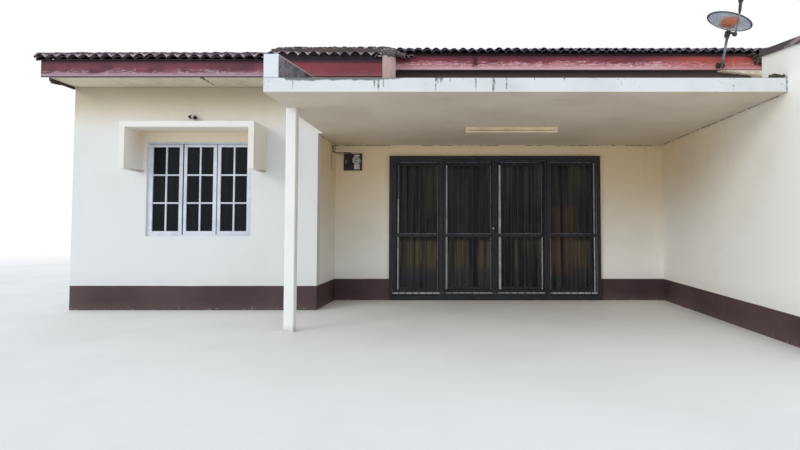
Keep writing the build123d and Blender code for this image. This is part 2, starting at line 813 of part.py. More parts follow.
with BuildPart() as spot_lamp:
    spot_x = x_left + spot_offset
    with BuildSketch(Plane.XZ.offset(-y_room)) as rose:
        with Locations((spot_x, spot_level)):
            Circle(spot_rose_radius)
    extrude(rose.sketch, amount=spot_rose_depth)
    with BuildSketch(Plane.XZ.offset(-y_room)) as stem:
        with Locations((spot_x, spot_level)):
            Circle(spot_stem_radius)
    extrude(stem.sketch, amount=spot_reach)
    with BuildSketch(Plane.YZ.offset(spot_x - spot_head_length / 2)) as head:
        with Locations((y_room - spot_reach, spot_level)):
            Circle(spot_head_radius)
    extrude(head.sketch, amount=spot_head_length)
spot_lamp.part.label = "wall_spotlight"
export_step(spot_lamp.part, "parts/wall_spotlight.step")

# Satellite dish: a leaning mast on the porch's fascia and a shallow bowl that faces up
mast_y = y_high_edge - mast_radius - mast_clearance
mast_foot = Vector(x_right_verge - mast_inset, mast_y, high_fascia_top - high_fascia_depth + mast_radius)
mast_direction = Vector(sin(radians(mast_lean)), 0, cos(radians(mast_lean)))
mast_tip = mast_foot + mast_direction * mast_height
lean = radians(dish_lean)
bearing = radians(dish_bearing)
dish_axis = Vector(sin(lean) * cos(bearing), sin(lean) * sin(bearing), cos(lean))
vertex = mast_tip + dish_axis * dish_standoff
dish_plane = Plane(origin=vertex, x_dir=dish_axis.cross(Vector(0, 1, 0)), z_dir=dish_axis)
bowl_plane = Plane(origin=vertex, x_dir=dish_plane.x_dir, z_dir=-dish_plane.y_dir)
bowl_curve = (dish_radius**2 + dish_sag**2) / (2 * dish_sag)
bowl_rings = [dish_radius * n / dish_bands for n in range(dish_bands + 1)]
bowl_back = [(r, bowl_curve - sqrt(bowl_curve**2 - r**2)) for r in bowl_rings]
bowl_front = [(r, height + dish_sheet) for r, height in reversed(bowl_back)]
with BuildPart() as dish:
    with BuildSketch(bowl_plane) as bowl:
        with BuildLine():
            Polyline(*bowl_back, *bowl_front, close=True)
        make_face()
    revolve(bowl.sketch, axis=Axis(vertex, dish_axis))
dish.part.label = "dish_reflector"
export_step(dish.part, "parts/dish_reflector.step")

with BuildPart() as mast:
    with BuildSketch(Plane(origin=mast_tip, x_dir=dish_plane.x_dir, z_dir=dish_axis)) as block:
        Rectangle(dish_block, dish_block)
    extrude(block.sketch, amount=dish_standoff + dish_sheet)
    with BuildSketch(bowl_plane) as hollow:
        with BuildLine():
            Polyline(*bowl_back, (0, dish_sag), close=True)
        make_face()
    revolve(hollow.sketch, axis=Axis(vertex, dish_axis), mode=Mode.SUBTRACT)
    with BuildSketch(Plane(origin=mast_foot, z_dir=mast_direction)) as pipe:
        Circle(mast_radius)
    extrude(pipe.sketch, amount=mast_height + mast_radius)
    box_between(
        (mast_foot.X - mast_clamp / 2, mast_foot.X + mast_clamp / 2),
        (mast_y, y_high_fascia),
        (mast_foot.Z, mast_foot.Z + mast_clamp),
    )
mast.part.label = "dish_mast"
export_step(mast.part, "parts/dish_mast.step")

with BuildPart() as feed_arm:
    bracket_start = mast_tip + dish_axis * arm_bracket_level - dish_plane.x_dir * (dish_block / 2)
    with BuildSketch(Plane(origin=bracket_start, x_dir=dish_axis, z_dir=-dish_plane.x_dir)) as bracket:
        Rectangle(arm_bracket_thickness, arm_bracket_width)
    extrude(bracket.sketch, amount=arm_bracket)
    arm_foot = bracket_start - dish_plane.x_dir * (arm_bracket - arm_radius)
    knee = vertex + Vector(*arm_knee)
    tip = vertex + Vector(*arm_tip)
    rods = ((arm_foot, knee, arm_radius, 0), (knee, tip, arm_radius, 0), (tip, tip, feed_radius, feed_length))
    for start, end, radius, length in rods:
        along = end - start if length == 0 else tip - knee
        with BuildSketch(Plane(origin=start, z_dir=along.normalized())) as rod:
            Circle(radius)
        extrude(rod.sketch, amount=length or along.length)
    with Locations(knee):
        Sphere(arm_radius)
feed_arm.part.label = "dish_arm"
export_step(feed_arm.part, "parts/dish_arm.step")
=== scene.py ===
"""A bungalow with tiled roofs, a flat canopy over its porch, and glass doors behind a steel grille."""

import bmesh
import bpy
import numpy as np
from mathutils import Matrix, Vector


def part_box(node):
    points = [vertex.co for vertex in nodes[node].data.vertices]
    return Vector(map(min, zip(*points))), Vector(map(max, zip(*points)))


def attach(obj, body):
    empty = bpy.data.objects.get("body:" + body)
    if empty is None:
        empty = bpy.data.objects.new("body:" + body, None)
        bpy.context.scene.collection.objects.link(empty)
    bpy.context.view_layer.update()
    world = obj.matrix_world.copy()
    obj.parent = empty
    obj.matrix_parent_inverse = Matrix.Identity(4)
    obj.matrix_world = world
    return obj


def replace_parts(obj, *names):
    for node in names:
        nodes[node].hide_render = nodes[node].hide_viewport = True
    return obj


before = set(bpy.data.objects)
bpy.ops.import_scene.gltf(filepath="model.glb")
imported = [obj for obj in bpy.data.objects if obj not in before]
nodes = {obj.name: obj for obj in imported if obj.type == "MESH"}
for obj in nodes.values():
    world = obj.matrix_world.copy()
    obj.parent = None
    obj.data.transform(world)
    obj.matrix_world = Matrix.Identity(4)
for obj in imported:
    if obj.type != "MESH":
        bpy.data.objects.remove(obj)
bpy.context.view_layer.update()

# Places taken from the frame, in metres
X_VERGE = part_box("roof_left_front")[0].x
X_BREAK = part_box("roof_left_front")[1].x
X_RIGHT_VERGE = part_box("roof_right_front")[1].x
X_EAVES_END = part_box("front_fascia")[1].x
Y_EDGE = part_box("roof_left_front")[0].y
Y_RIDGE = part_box("roof_left_front")[1].y
Y_REAR_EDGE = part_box("roof_left_rear")[1].y
Z_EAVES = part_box("roof_left_front")[0].z
Z_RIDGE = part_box("roof_left_front")[1].z
LOW_THICKNESS = 0.075
HIGH_LIFT = 0.075
HIGH_THICKNESS = 0.080
HIGH_TOP = HIGH_LIFT + HIGH_THICKNESS
RUN = Y_RIDGE - Y_EDGE
SLOPE = (Z_RIDGE - LOW_THICKNESS - Z_EAVES) / RUN
Y_HIGH_EDGE = -2.03
HIGH_START = Y_HIGH_EDGE - Y_EDGE
Y_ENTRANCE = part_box("entrance_wall_left")[0].y
DADO = 0.335
METER_X, METER_Z = -1.328, 2.203

# Tiles
ROLL = 0.144
ROLL_HEIGHT = 0.043
COURSES = 16
COURSE = RUN / COURSES
TILE_END = 0.013
TILE_SINK = 0.013
TILE_STEPS = 13
# How far a tile may slip up the slope, tip up or down and shift sideways, by its own draws
TILE_SLIP = 0.012
TILE_TIP = 0.0070
TILE_SHIFT = 0.0015
EAVES_FOLD = 0.09
VERGE_FOLD = 0.05
VERGE_DROP = 0.016
RIDGE_TILE = 0.37
RIDGE_SINK = 0.032
RIDGE_POINTS = 17
BOARD_WIDTH = 0.15
BOARD_GROOVE = 0.006
BATTEN_WIDTH = 0.05
BATTEN_HEIGHT = 0.070
BATTEN_GAP = 0.04
# Along a ridge tile: the share of its length, its size, and 1 on the collar
RIDGE_RINGS = ((0.0, 0.985, 1.0), (0.10, 0.985, 1.0), (0.105, 0.935, 0.0), (1.0, 0.895, 0.0))
UP = np.array([0.0, 0.0, 1.0])

# Water marks down the canopy's front edge: their places, half widths and lowest points
DRIPS = (
    (-1.318, 0.005, 2.48),
    (-0.520, 0.012, 2.50),
    (-0.480, 0.014, 2.47),
    (-0.430, 0.010, 2.50),
    (0.080, 0.008, 2.46),
    (0.092, 0.022, 2.54),
    (0.130, 0.007, 2.53),
    (0.220, 0.006, 2.54),
    (0.345, 0.010, 2.57),
    (0.475, 0.009, 2.46),
    (0.645, 0.014, 2.46),
    (0.655, 0.008, 2.52),
    (0.775, 0.010, 2.48),
    (1.05, 0.006, 2.57),
    (1.34, 0.012, 2.575),
    (3.515, 0.012, 2.46),
)

chance = np.random.default_rng(7)


class Field:
    """A socket of one material, on which sums, products and the like add Math nodes."""

    def __init__(self, tree, socket):
        self.tree = tree
        self.socket = socket

    def add(self, kind, settings=None, sockets=None, output=0):
        """Add a node of a type: its settings first, then the values or links of its sockets."""
        node = self.tree.nodes.new("ShaderNode" + kind)
        for name, value in (settings or {}).items():
            setattr(node, name, value)
        for name, value in (sockets or {}).items():
            if isinstance(value, Field):
                self.tree.links.new(value.socket, node.inputs[name])
            else:
                node.inputs[name].default_value = value
        return Field(self.tree, node.outputs[output])

    def maths(self, operation, *values):
        """A Math node on this value and others."""
        return self.add("Math", {"operation": operation}, dict(enumerate((self, *values))))

    def __add__(self, other):
        return self.maths("ADD", other)

    def __radd__(self, other):
        return self.maths("ADD", other)

    def __mul__(self, other):
        return self.maths("MULTIPLY", other)

    def __rmul__(self, other):
        return self.maths("MULTIPLY", other)

    def __sub__(self, other):
        return self.maths("SUBTRACT", other)

    def __rsub__(self, other):
        return self.add("Math", {"operation": "SUBTRACT"}, {0: other, 1: self})

    def rise(self, low, high):
        """A smooth step of this value, 0 at low and 1 at high."""
        ends = {"Value": self, "From Min": low, "From Max": high}
        return self.add("MapRange", {"interpolation_type": "SMOOTHSTEP"}, ends)

    def near(self, place, gap=0.004):
        """1 where this value is within a gap of a place."""
        return (self - place).maths("ABSOLUTE").rise(gap + 0.002, gap)

    def most(self, *others):
        """The largest of this value and others."""
        result = self
        for other in others:
            result = result.maths("MAXIMUM", other)
        return result

    def least(self, other):
        return self.maths("MINIMUM", other)

    def mixed(self, one, other, share):
        """One colour turning into another with a share from 0 to 1. A tuple holds screen values."""
        pair = (part if isinstance(part, Field) else tone(*part) for part in (one, other))
        return self.add("Mix", {"data_type": "RGBA"}, dict(zip((0, 6, 7), (share, *pair))), output=2)

    def coat(self, other, share):
        """This colour under a coat of another, by a share."""
        return self.mixed(self, other, share)


class Finish(Field):
    """A new material: the field is its object coordinates, and it ends in close()."""

    def __init__(self, name):
        self.material = bpy.data.materials.new(name)
        self.material.use_nodes = True
        tree = self.material.node_tree
        super().__init__(tree, tree.nodes.new("ShaderNodeTexCoord").outputs["Object"])
        apart = self.add("SeparateXYZ", sockets={0: self}).socket.node
        self.x, self.y, self.z = (Field(tree, socket) for socket in apart.outputs)

    def noise(self, size, detail=3.0, stretch=(1, 1, 1), start=0.0, rough=0.55):
        """Cloudy values around 0.5 whose blotches are size metres across, divided by stretch."""
        scale = [part / size for part in stretch]
        place = self.add("Mapping", sockets={"Vector": self, "Location": [start] * 3, "Scale": scale})
        settings = {"Vector": place, "Scale": 1.0, "Detail": detail, "Roughness": rough}
        return self.add("TexNoise", sockets=settings)

    def own(self, name):
        """A value stored on the piece's points."""
        return self.add("Attribute", {"attribute_name": name}, output=2)

    def close(self, colour, roughness=0.6, height=None, depth=0.002, **fixed):
        """Link the Principled shader's sockets and return the material."""
        shader = self.tree.nodes["Principled BSDF"]
        for name, value in {"Base Color": colour, "Roughness": roughness, **fixed}.items():
            place = shader.inputs[name.replace("_", " ")]
            if isinstance(value, Field):
                self.tree.links.new(value.socket, place)
            else:
                place.default_value = value
        if height is not None:
            bump = self.add("Bump", sockets={"Height": height, "Distance": depth})
            self.tree.links.new(bump.socket, shader.inputs["Normal"])
        return self.material


def tone(red, green, blue):
    """A colour written as screen values from 0 to 255, in linear light."""
    parts = np.array([red, green, blue]) / 255
    linear = np.where(parts <= 0.04045, parts / 12.92, ((parts + 0.055) / 1.055) ** 2.4)
    return (*linear.tolist(), 1.0)


# Surfaces


def quads(rows, columns, closed=False):
    """Faces of a grid of points numbered row by row; a closed grid's last column meets its first."""
    wide = columns if closed else columns - 1
    row, column = np.meshgrid(np.arange(rows - 1), np.arange(wide), indexing="ij")
    here = row * columns + column
    right = row * columns + (column + 1) % columns
    return np.stack([here, right, right + columns, here + columns], -1).reshape(-1, 4)


def new_piece(name, points, faces, finish, body="house", slot=None, smooth=True, values=None):
    """A mesh piece that rides on a body, with values stored on its points."""
    mesh = bpy.data.meshes.new(name)
    mesh.from_pydata(np.asarray(points, float).reshape(-1, 3), [], faces)
    for key, value in (values or {}).items():
        store = mesh.attributes.new(key, "FLOAT", "POINT")
        store.data.foreach_set("value", np.asarray(value, np.float32).ravel())
    mesh.polygons.foreach_set("use_smooth", np.full(len(mesh.polygons), smooth))
    mesh.materials.append(finish)
    mesh.update()
    piece = bpy.data.objects.new(name, mesh)
    bpy.context.scene.collection.objects.link(piece)
    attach(piece, body)
    return piece


def weld(piece, gap=1e-5):
    """Join points that lie together, so that poles and seams close, and turn the faces outwards."""
    shape = bmesh.new()
    shape.from_mesh(piece.data)
    bmesh.ops.remove_doubles(shape, verts=shape.verts, dist=gap)
    bmesh.ops.dissolve_degenerate(shape, edges=shape.edges, dist=gap)
    bmesh.ops.recalc_face_normals(shape, faces=shape.faces)
    shape.to_mesh(piece.data)
    shape.free()
    return piece


def bars(starts, ends, across, outline):
    """Straight bars with one outline: its first coordinate runs along across, its second along the
    cross product of the bar's direction with across. Each end closes on the middle of its ring."""
    starts, ends, across = (np.atleast_2d(np.asarray(part, float)) for part in (starts, ends, across))
    along = ends - starts
    along = along / np.linalg.norm(along, axis=1, keepdims=True)
    across = np.broadcast_to(across, starts.shape)
    other = np.cross(along, across)
    outline = np.asarray(outline, float)
    ring = across[:, None] * outline[None, :, :1] + other[:, None] * outline[None, :, 1:]
    sizes = np.array([0.0, 1.0, 1.0, 0.0])
    places = np.stack([starts, starts, ends, ends], 1)
    points = places[:, :, None] + ring[:, None] * sizes[None, :, None, None]
    count = len(outline)
    one = quads(4, count, closed=True)
    faces = (one[None] + np.arange(len(starts))[:, None, None] * 4 * count).reshape(-1, 4)
    return points.reshape(-1, 3), faces


def rounded(width, height, corner, steps=2):
    """Outline of a rectangle whose corners are quarter circles."""
    turn = np.linspace(0, np.pi / 2, steps + 1)
    quarter = np.stack([np.cos(turn), np.sin(turn)], 1) * corner
    middle = np.array([width / 2 - corner, height / 2 - corner])
    sides = []
    for number, (right, up) in enumerate(((1, 1), (-1, 1), (-1, -1), (1, -1))):
        spun = quarter @ np.linalg.matrix_power(np.array([[0, 1], [-1, 0]]), number)
        sides.append(spun + middle * np.array([right, up]))
    return np.concatenate(sides)


def turned(profile, centre, axis, count=32):
    """A profile of radii and heights spun around an axis through a centre: each ring is the radius
    times the cosine and sine of the turn on two directions square to the axis."""
    axis = np.asarray(axis, float)
    axis = axis / np.linalg.norm(axis)
    helper = np.array([0.0, 1.0, 0.0]) if abs(axis[1]) < 0.9 else np.array([1.0, 0.0, 0.0])
    first = np.cross(helper, axis)
    first = first / np.linalg.norm(first)
    second = np.cross(axis, first)
    profile = np.asarray(profile, float)
    turn = np.arange(count) * 2 * np.pi / count
    round_about = np.cos(turn)[:, None] * first + np.sin(turn)[:, None] * second
    points = np.asarray(centre, float) + profile[:, None, :1] * round_about[None]
    points = points + profile[:, None, 1:] * axis
    return points.reshape(-1, 3), quads(len(profile), count, closed=True)


def tube(path, radius, count=12):
    """A round tube along a path of points: each ring is square to the run between its neighbours,
    and its radius may differ from point to point. Both ends close on their middle."""
    path = np.asarray(path, float)
    radius = np.broadcast_to(np.asarray(radius, float), len(path))
    along = np.gradient(path, axis=0)
    along = along / np.linalg.norm(along, axis=1, keepdims=True)
    path, along = (np.concatenate([one[:1], one, one[-1:]]) for one in (path, along))
    radius = np.concatenate([[0.0], radius, [0.0]])
    steady = np.array([0.31, 0.17, 0.93]) if abs(along[:, 2]).mean() < 0.7 else np.array([0.11, 0.95, 0.2])
    first = np.cross(along, steady)
    first = first / np.linalg.norm(first, axis=1, keepdims=True)
    second = np.cross(along, first)
    turn = np.arange(count) * 2 * np.pi / count
    ring = np.cos(turn)[None, :, None] * first[:, None] + np.sin(turn)[None, :, None] * second[:, None]
    points = path[:, None] + ring * radius[:, None, None]
    return points.reshape(-1, 3), quads(len(path), count, closed=True)


def eased(path, times):
    """A path whose inner points move, a number of times, to a quarter of both neighbours and half of
    themselves."""
    for _ in range(times):
        path[1:-1] = (path[:-2] + 2 * path[1:-1] + path[2:]) / 4
    return path


def spread(path, count):
    """A path's points as a number of points at even shares between them."""
    path = np.asarray(path, float)
    knots = np.linspace(0, 1, len(path))
    place = np.linspace(0, 1, count)
    return np.stack([np.interp(place, knots, path[:, axis]) for axis in range(3)], 1)


def together(*shapes):
    """Several sets of points and faces as one."""
    points = [np.asarray(shape[0]).reshape(-1, 3) for shape in shapes]
    firsts = np.cumsum([0, *[len(part) for part in points[:-1]]])
    faces = [np.asarray(shape[1]) + first for shape, first in zip(shapes, firsts)]
    return np.concatenate(points), np.concatenate(faces)


# Finishes


def plaster(
    name,
    node,
    sides,
    dado=0.0,
    warm=(2.3, 3.1, 0.7),
    deep=None,
    shade_from=None,
    shadow_line_at=None,
    recess=None,
    fall=0.0,
):
    """Painted plaster: white low down and cream between two heights, by a share, the cream partly the paint's
    own and partly painted shade under the eaves and the canopy, with more painted shade darkening it under
    the eaves; a brown dado on the named sides of the node's box, whose top falls forwards; black painted
    shade in streaks above a height; a broken dark painted shadow line and faint painted shade along a
    ceiling's level; and tan painted shade in the hood's recess.
    Walls under the canopy and the wing wall have a whiter base, which is painted light."""
    paint = Finish(name)
    faces = [getattr(paint, side[0]).near(getattr(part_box(node)[int(side[1])], side[0])) for side in sides]
    cloud = paint.noise(1.1, detail=4)
    fine = paint.noise(0.05, detail=4, start=3.0)
    streaks = paint.noise(0.16, detail=4, stretch=(1, 1, 0.13), start=7.0)
    # Cream between two heights: partly the paint's own cream, partly painted shade under the eaves and the
    # canopy
    cream = (paint.z + cloud * 0.3).rise(warm[0] + 0.15, warm[1] + 0.15)
    # On the wing wall the cream is painted shade, strongest near the canopy's underside and deeper into the
    # porch
    if deep:
        cream = cream.most(paint.z.rise(2.0, 2.46) * 0.7) * paint.y.rise(*deep)
    # Porch and wing walls get a whiter base than the other walls: painted light that lifts their shade
    white = (252, 250, 244) if deep or shade_from else (228, 229, 228)
    colour = paint.mixed(white, (240, 216, 176), cream * warm[2])
    # Painted shade under the eaves: the wall darkens towards its top
    if warm[1] > 3.0:
        eaves = (paint.z + cloud * 0.2).rise(2.55, 3.2)
        colour = colour.coat((184, 172, 148), eaves * 0.9)
    colour = colour.coat((208, 200, 184), cloud.rise(0.48, 0.78) * 0.22)
    runs = streaks.rise(0.60, 0.82) * paint.z.rise(0.9, 2.6)
    colour = colour.coat((180, 170, 152), runs * 0.25)
    splash = (paint.z + cloud * 0.12).rise(0.60, 0.36)
    colour = colour.coat((200, 196, 190), splash * 0.2)
    # Tan painted shade in the recess under the window hood
    if recess:
        (left, right), (low, high) = recess
        tan = paint.x.rise(left, left + 0.10) * paint.x.rise(right, right - 0.10)
        tan = tan * paint.z.rise(low, low + 0.35) * paint.z.rise(high + 0.01, high - 0.01)
        colour = colour.coat((244, 226, 194), tan * 0.7)
    # Black in streaks above a height: painted shade under the high eaves, over the canopy
    if shade_from:
        level = paint.z + streaks * 0.5 + fine * 0.1
        black = level.rise(shade_from + 0.18, shade_from + 0.42)
        colour = colour.coat((46, 38, 48), black * 0.94)
    # A broken dark painted shadow line where the wall meets a ceiling, with faint painted shade within 5 cm
    # of it
    if shadow_line_at:
        gap = (paint.z - shadow_line_at).maths("ABSOLUTE")
        line = gap + (fine - 0.5) * 0.02
        broken = paint.noise(0.12, detail=3, start=11.0).rise(0.42, 0.56)
        darkening = gap.rise(0.05, 0.0) * 0.10
        dark = (line.rise(0.009, 0.004) * broken * 0.7).most(darkening) * paint.y.rise(-5.34, -5.28)
        colour = colour.coat((60, 48, 38), dark)
    rough = fine * 0.25 + 0.55
    if dado:
        outside = faces[0].most(*faces[1:])
        edge = paint.noise(0.5, detail=2, start=5.0)
        level = paint.z + edge * 0.008 - (paint.y - Y_ENTRANCE) * fall
        low = level.rise(dado + 0.006, dado + 0.002) * outside
        brown = paint.mixed((90, 70, 72), (72, 56, 58), cloud.rise(0.35, 0.65))
        chips = paint.noise(0.03, detail=3, start=9.0).rise(0.62, 0.66)
        chips = chips * (paint.z + cloud * 0.05).rise(0.09, 0.03)
        brown = brown.coat((190, 180, 174), chips * 0.7)
        dust = (paint.z + streaks * 0.1).rise(0.20, 0.02)
        brown = brown.coat((112, 98, 94), dust * 0.35)
        colour = colour.coat(brown, low)
        rough = rough - low * 0.12
    height = fine * 0.7 + paint.noise(0.012, detail=3, start=1.0) * 0.3
    return paint.close(colour, rough, height, 0.0022, Specular_IOR_Level=0.2)


def canopy_paint():
    """White painted concrete: a grey-beige underside that turns darker and warmer towards the wall, which is
    painted shade; black drips down its edges, a weathered top.
    """
    paint = Finish("canopy_paint")
    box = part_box("porch_canopy")
    cloud = paint.noise(0.9, detail=5)
    fine = paint.noise(0.06, detail=4, start=2.0)
    white = paint.mixed((223, 226, 228), (200, 202, 204), cloud.rise(0.45, 0.75))
    run = paint.noise(0.045, detail=3, stretch=(1, 1, 0.16), start=4.0)
    patch = paint.noise(0.42, detail=3, start=6.0).rise(0.52, 0.66)
    drips = run.rise(0.57, 0.66) * patch * (paint.z + fine * 0.16).rise(box[0].z + 0.10, box[1].z + 0.06)
    speck = paint.noise(0.018, detail=3, start=5.0).rise(0.30, 0.62) * 0.75 + 0.1
    for place, width, foot in DRIPS:
        near = (paint.x + (fine - 0.5) * 0.02 - place).maths("ABSOLUTE").rise(width, width * 0.4)
        drips = drips.most(near * (paint.z + (run - 0.5) * 0.12).rise(foot - 0.012, foot + 0.03) * speck)
    mould = paint.noise(0.10, detail=4, start=12.0)
    left = paint.x.rise(-0.1, -0.5) * paint.x.rise(-1.5, -1.3) * 0.03
    lip = (paint.z + fine * 0.02 + mould * 0.05 + left).rise(box[1].z + 0.034, box[1].z + 0.052)
    specks = paint.noise(0.022, detail=2, start=8.0).rise(0.66, 0.71) * patch
    white = white.coat((52, 52, 54), drips.most(lip * 0.8, specks * 0.7))
    under = paint.mixed((221, 208, 191), (209, 195, 177), cloud.rise(0.35, 0.7))
    # Painted shade: the underside turns darker and warmer deeper under the canopy, towards the wall
    under = under.coat((214, 196, 168), paint.y.rise(-4.6, -1.9) * 0.6)
    damp = paint.noise(0.3, detail=4, start=1.0).rise(0.60, 0.82)
    under = under.coat((168, 154, 134), damp * 0.35)
    for level, place in ((paint.y, box[1].y), (paint.x, box[0].x), (paint.x, box[1].x)):
        line = (level - place).maths("ABSOLUTE") + (fine - 0.5) * 0.02
        under = under.coat((92, 76, 60), line.rise(0.02, 0.0) * 0.35)
    colour = paint.mixed(white, under, paint.z.rise(box[0].z + 0.004, box[0].z + 0.001))
    weather = paint.noise(0.5, detail=5, start=3.0).rise(0.35, 0.65)
    top = paint.mixed((156, 152, 146), (98, 95, 92), weather)
    colour = colour.coat(top, paint.z.rise(box[1].z - 0.004, box[1].z - 0.001))
    return paint.close(colour, fine * 0.2 + 0.6, fine, 0.003)


def kerb_paint():
    """A white front, and sides and a top gone grey with black weather stains and a pale worn edge
    along its top, which rises 1 in 10 to the rear."""
    paint = Finish("kerb_paint")
    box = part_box("canopy_kerb")
    front = paint.y.rise(box[0].y + 0.006, box[0].y + 0.002)
    outer = paint.x.rise(box[0].x + 0.006, box[0].x + 0.002)
    cloud = paint.noise(0.16, detail=5)
    fine = paint.noise(0.03, detail=4, start=2.0)
    weather = (cloud * 0.5 + fine * 0.5).rise(0.40, 0.60)
    stained = paint.mixed((142, 134, 142), (84, 78, 90), weather)
    level = paint.z - (paint.y - box[0].y) * 0.1
    stained = stained.coat((30, 26, 30), (paint.y + cloud * 0.5).rise(-4.5, -3.9) * 0.8)
    stained = stained.coat((196, 180, 170), level.rise(2.818, 2.824) * 0.7)
    white = paint.mixed((226, 230, 235), (204, 206, 209), cloud.rise(0.5, 0.8))
    low = (paint.z + fine * 0.02).rise(box[0].z + 0.03, box[0].z + 0.012)
    white = white.coat((120, 118, 120), low * 0.4)
    colour = paint.mixed(stained, white, front.most(outer * 0.7))
    return paint.close(colour, 0.75, fine, 0.004)


def hood_render():
    """White render with brown water marks on its feet. Its faces behind the front are whiter, which is
    painted light lifting their shade; its right side is warmer and it turns tan inside the hood towards the
    wall, which is painted shade.
    """
    paint = Finish("hood_render")
    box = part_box("window_hood")
    front = box[0].y
    cloud = paint.noise(0.35, detail=5)
    fine = paint.noise(0.03, detail=4, start=2.0)
    colour = paint.mixed((236, 230, 222), (212, 204, 190), cloud.rise(0.5, 0.85) * 0.4)
    # Painted light: every face behind the front is whiter, to lift its shade
    colour = colour.coat((251, 244, 235), paint.y.rise(front + 0.004, front + 0.02))
    # Painted shade: the right side, turned away from the light, is warmer
    right = paint.x.rise(box[1].x - 0.006, box[1].x - 0.002)
    colour = colour.coat((238, 226, 206), right * 0.8)
    # Painted shade: tan inside the hood, under its top and towards the wall
    inside = paint.x.rise(box[0].x + 0.004, box[0].x + 0.05)
    inside = inside * paint.x.rise(box[1].x - 0.004, box[1].x - 0.05)
    inside = inside * paint.z.rise(box[1].z - 0.01, box[1].z - 0.05)
    inside = inside * paint.y.rise(front + 0.005, front + 0.41)
    colour = colour.coat((216, 190, 150), inside * paint.z.rise(1.9, 2.42) * 0.5)
    foot = (paint.z + (fine - 0.5) * 0.03).rise(box[0].z + 0.03, box[0].z + 0.006)
    foot = foot * paint.y.rise(front + 0.02, front + 0.36)
    colour = colour.coat((150, 126, 88), foot * 0.7)
    return paint.close(colour, fine * 0.2 + 0.5, fine, 0.0015)


def white_render(name, darkening=0.3):
    """White painted render with a faint trowel texture and grime that gathers in blotches."""
    paint = Finish(name)
    cloud = paint.noise(0.35, detail=5)
    fine = paint.noise(0.03, detail=4, start=2.0)
    colour = paint.mixed((244, 243, 239), (206, 200, 188), cloud.rise(0.45, 0.8) * darkening)
    foot = (paint.z + fine * 0.06).rise(0.12, 0.02)
    colour = colour.coat((176, 170, 160), foot * 0.6)
    return paint.close(colour, fine * 0.2 + 0.5, fine, 0.0015)


def tile_clay(name):
    """Weathered clay tiles: dark purple-brown rolls that differ from tile to tile, paler valleys with
    pinkish worn ends, and grey lichen; the rows over the porch are greyer and darker."""
    clay = Finish(name)
    each = clay.own("tile_shade")
    end = clay.own("tile_end")
    crest = clay.own("tile_crest")
    cloud = clay.noise(0.7, detail=5)
    fine = clay.noise(0.035, detail=5, start=2.0)
    grain = clay.noise(0.008, detail=2, start=4.0)
    porch = clay.x.rise(-0.9, -0.4)
    colour = clay.mixed((62, 52, 62), (92, 80, 90), each)
    colour = colour.coat((46, 42, 52), (cloud + fine * 0.4).rise(0.52, 0.82) * 0.7)
    valley = (1 - crest + (fine - 0.5) * 0.5).rise(0.30, 0.75)
    colour = colour.coat((150, 130, 138), valley * (0.75 - porch * 0.35))
    patch = clay.noise(0.09, detail=3, start=12.0).rise(0.36, 0.54)
    worn = end * (1 - crest + (fine - 0.5) * 0.4).rise(0.25, 0.60) * patch.most(porch)
    colour = colour.coat(clay.mixed((226, 204, 208), (158, 154, 168), porch), worn * 0.85)
    lichen = clay.noise(0.06, detail=4, start=8.0).rise(0.58, 0.68) * cloud.rise(0.42, 0.6)
    colour = colour.coat((134, 134, 132), lichen * 0.4)
    return clay.close(colour, fine * 0.2 + 0.7, fine * 0.6 + grain * 0.4, 0.003)


def fascia_paint(name, board, red, deep_red, pink, pale, spread, orange=None, bare_from=None, spots=()):
    """Maroon paint on a board along X: dark under the tiles, which is dirty paint and painted shade, gone
    pink over its lower part, where it peels in thin pale lines that follow the contours of a noise drawn out
    along the grain."""
    paint = Finish(name)
    low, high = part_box(board)[0].z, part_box(board)[1].z
    fine = paint.noise(0.016, detail=4, stretch=(0.12, 1, 1))
    wave = paint.noise(0.045, detail=3, stretch=(0.20, 1, 1), start=5.0)
    cloud = paint.noise(0.5, detail=4, start=2.0)
    blotch = paint.noise(0.10, detail=4, start=9.0, stretch=(0.6, 1, 1))
    up = (paint.z - low) * (1 / (high - low))
    colour = paint.mixed(red, deep_red, (cloud * 0.6 + blotch * 0.4).rise(0.40, 0.62))
    colour = colour.coat(deep_red, up.rise(0.45, 0.95) * 0.8)
    worn = 1.0
    if orange:
        worn = 1 - (paint.x + cloud * 0.6).rise(*orange)
        colour = paint.mixed((168, 78, 66), colour, worn)
        worn = worn * 0.6 + 0.4
    if bare_from:
        worn = worn * (1 - (paint.x + cloud * 0.2).rise(bare_from, bare_from + 0.3) * 0.85)
        colour = paint.mixed((140, 62, 70), colour, worn)
    level = up + (cloud - 0.5) * 0.45 + (wave - 0.5) * 0.5 + (fine - 0.5) * 0.2
    zone = level.rise(spread, spread - 0.22)
    colour = colour.coat(pink, zone * worn * 0.85)
    line = (wave - 0.5).maths("ABSOLUTE").rise(0.030, 0.008).most(fine.rise(0.57, 0.66) * 0.8)
    line = line * level.rise(spread + 0.10, spread - 0.08) * (blotch * 0.9 + 0.25)
    foot = (up + (fine - 0.5) * 0.25 + (blotch - 0.5) * 0.2).rise(0.30, 0.10)
    colour = colour.coat(pale, line.most(foot * 0.6) * worn * 0.85)
    for place, width in spots:
        mark = (paint.x + (blotch - 0.5) * 0.12 - place).maths("ABSOLUTE").rise(width, width * 0.3)
        colour = colour.coat((66, 34, 44), mark * up.rise(0.02, 0.4) * (fine + 0.4).least(1.0))
    # Dark towards the top under the tiles: dirty paint and painted shade
    dirt_and_shade = (up + (cloud - 0.5) * 0.12 + (fine - 0.5) * 0.1).rise(0.72, 0.95)
    colour = colour.coat((52, 34, 46), dirt_and_shade * 0.9)
    edge = (up + (fine - 0.5) * 0.02).rise(0.055, 0.035)
    colour = colour.coat((64, 38, 42), edge * 0.85)
    return paint.close(colour, 0.6 + zone * 0.2, fine, 0.002, Specular_IOR_Level=0.25)


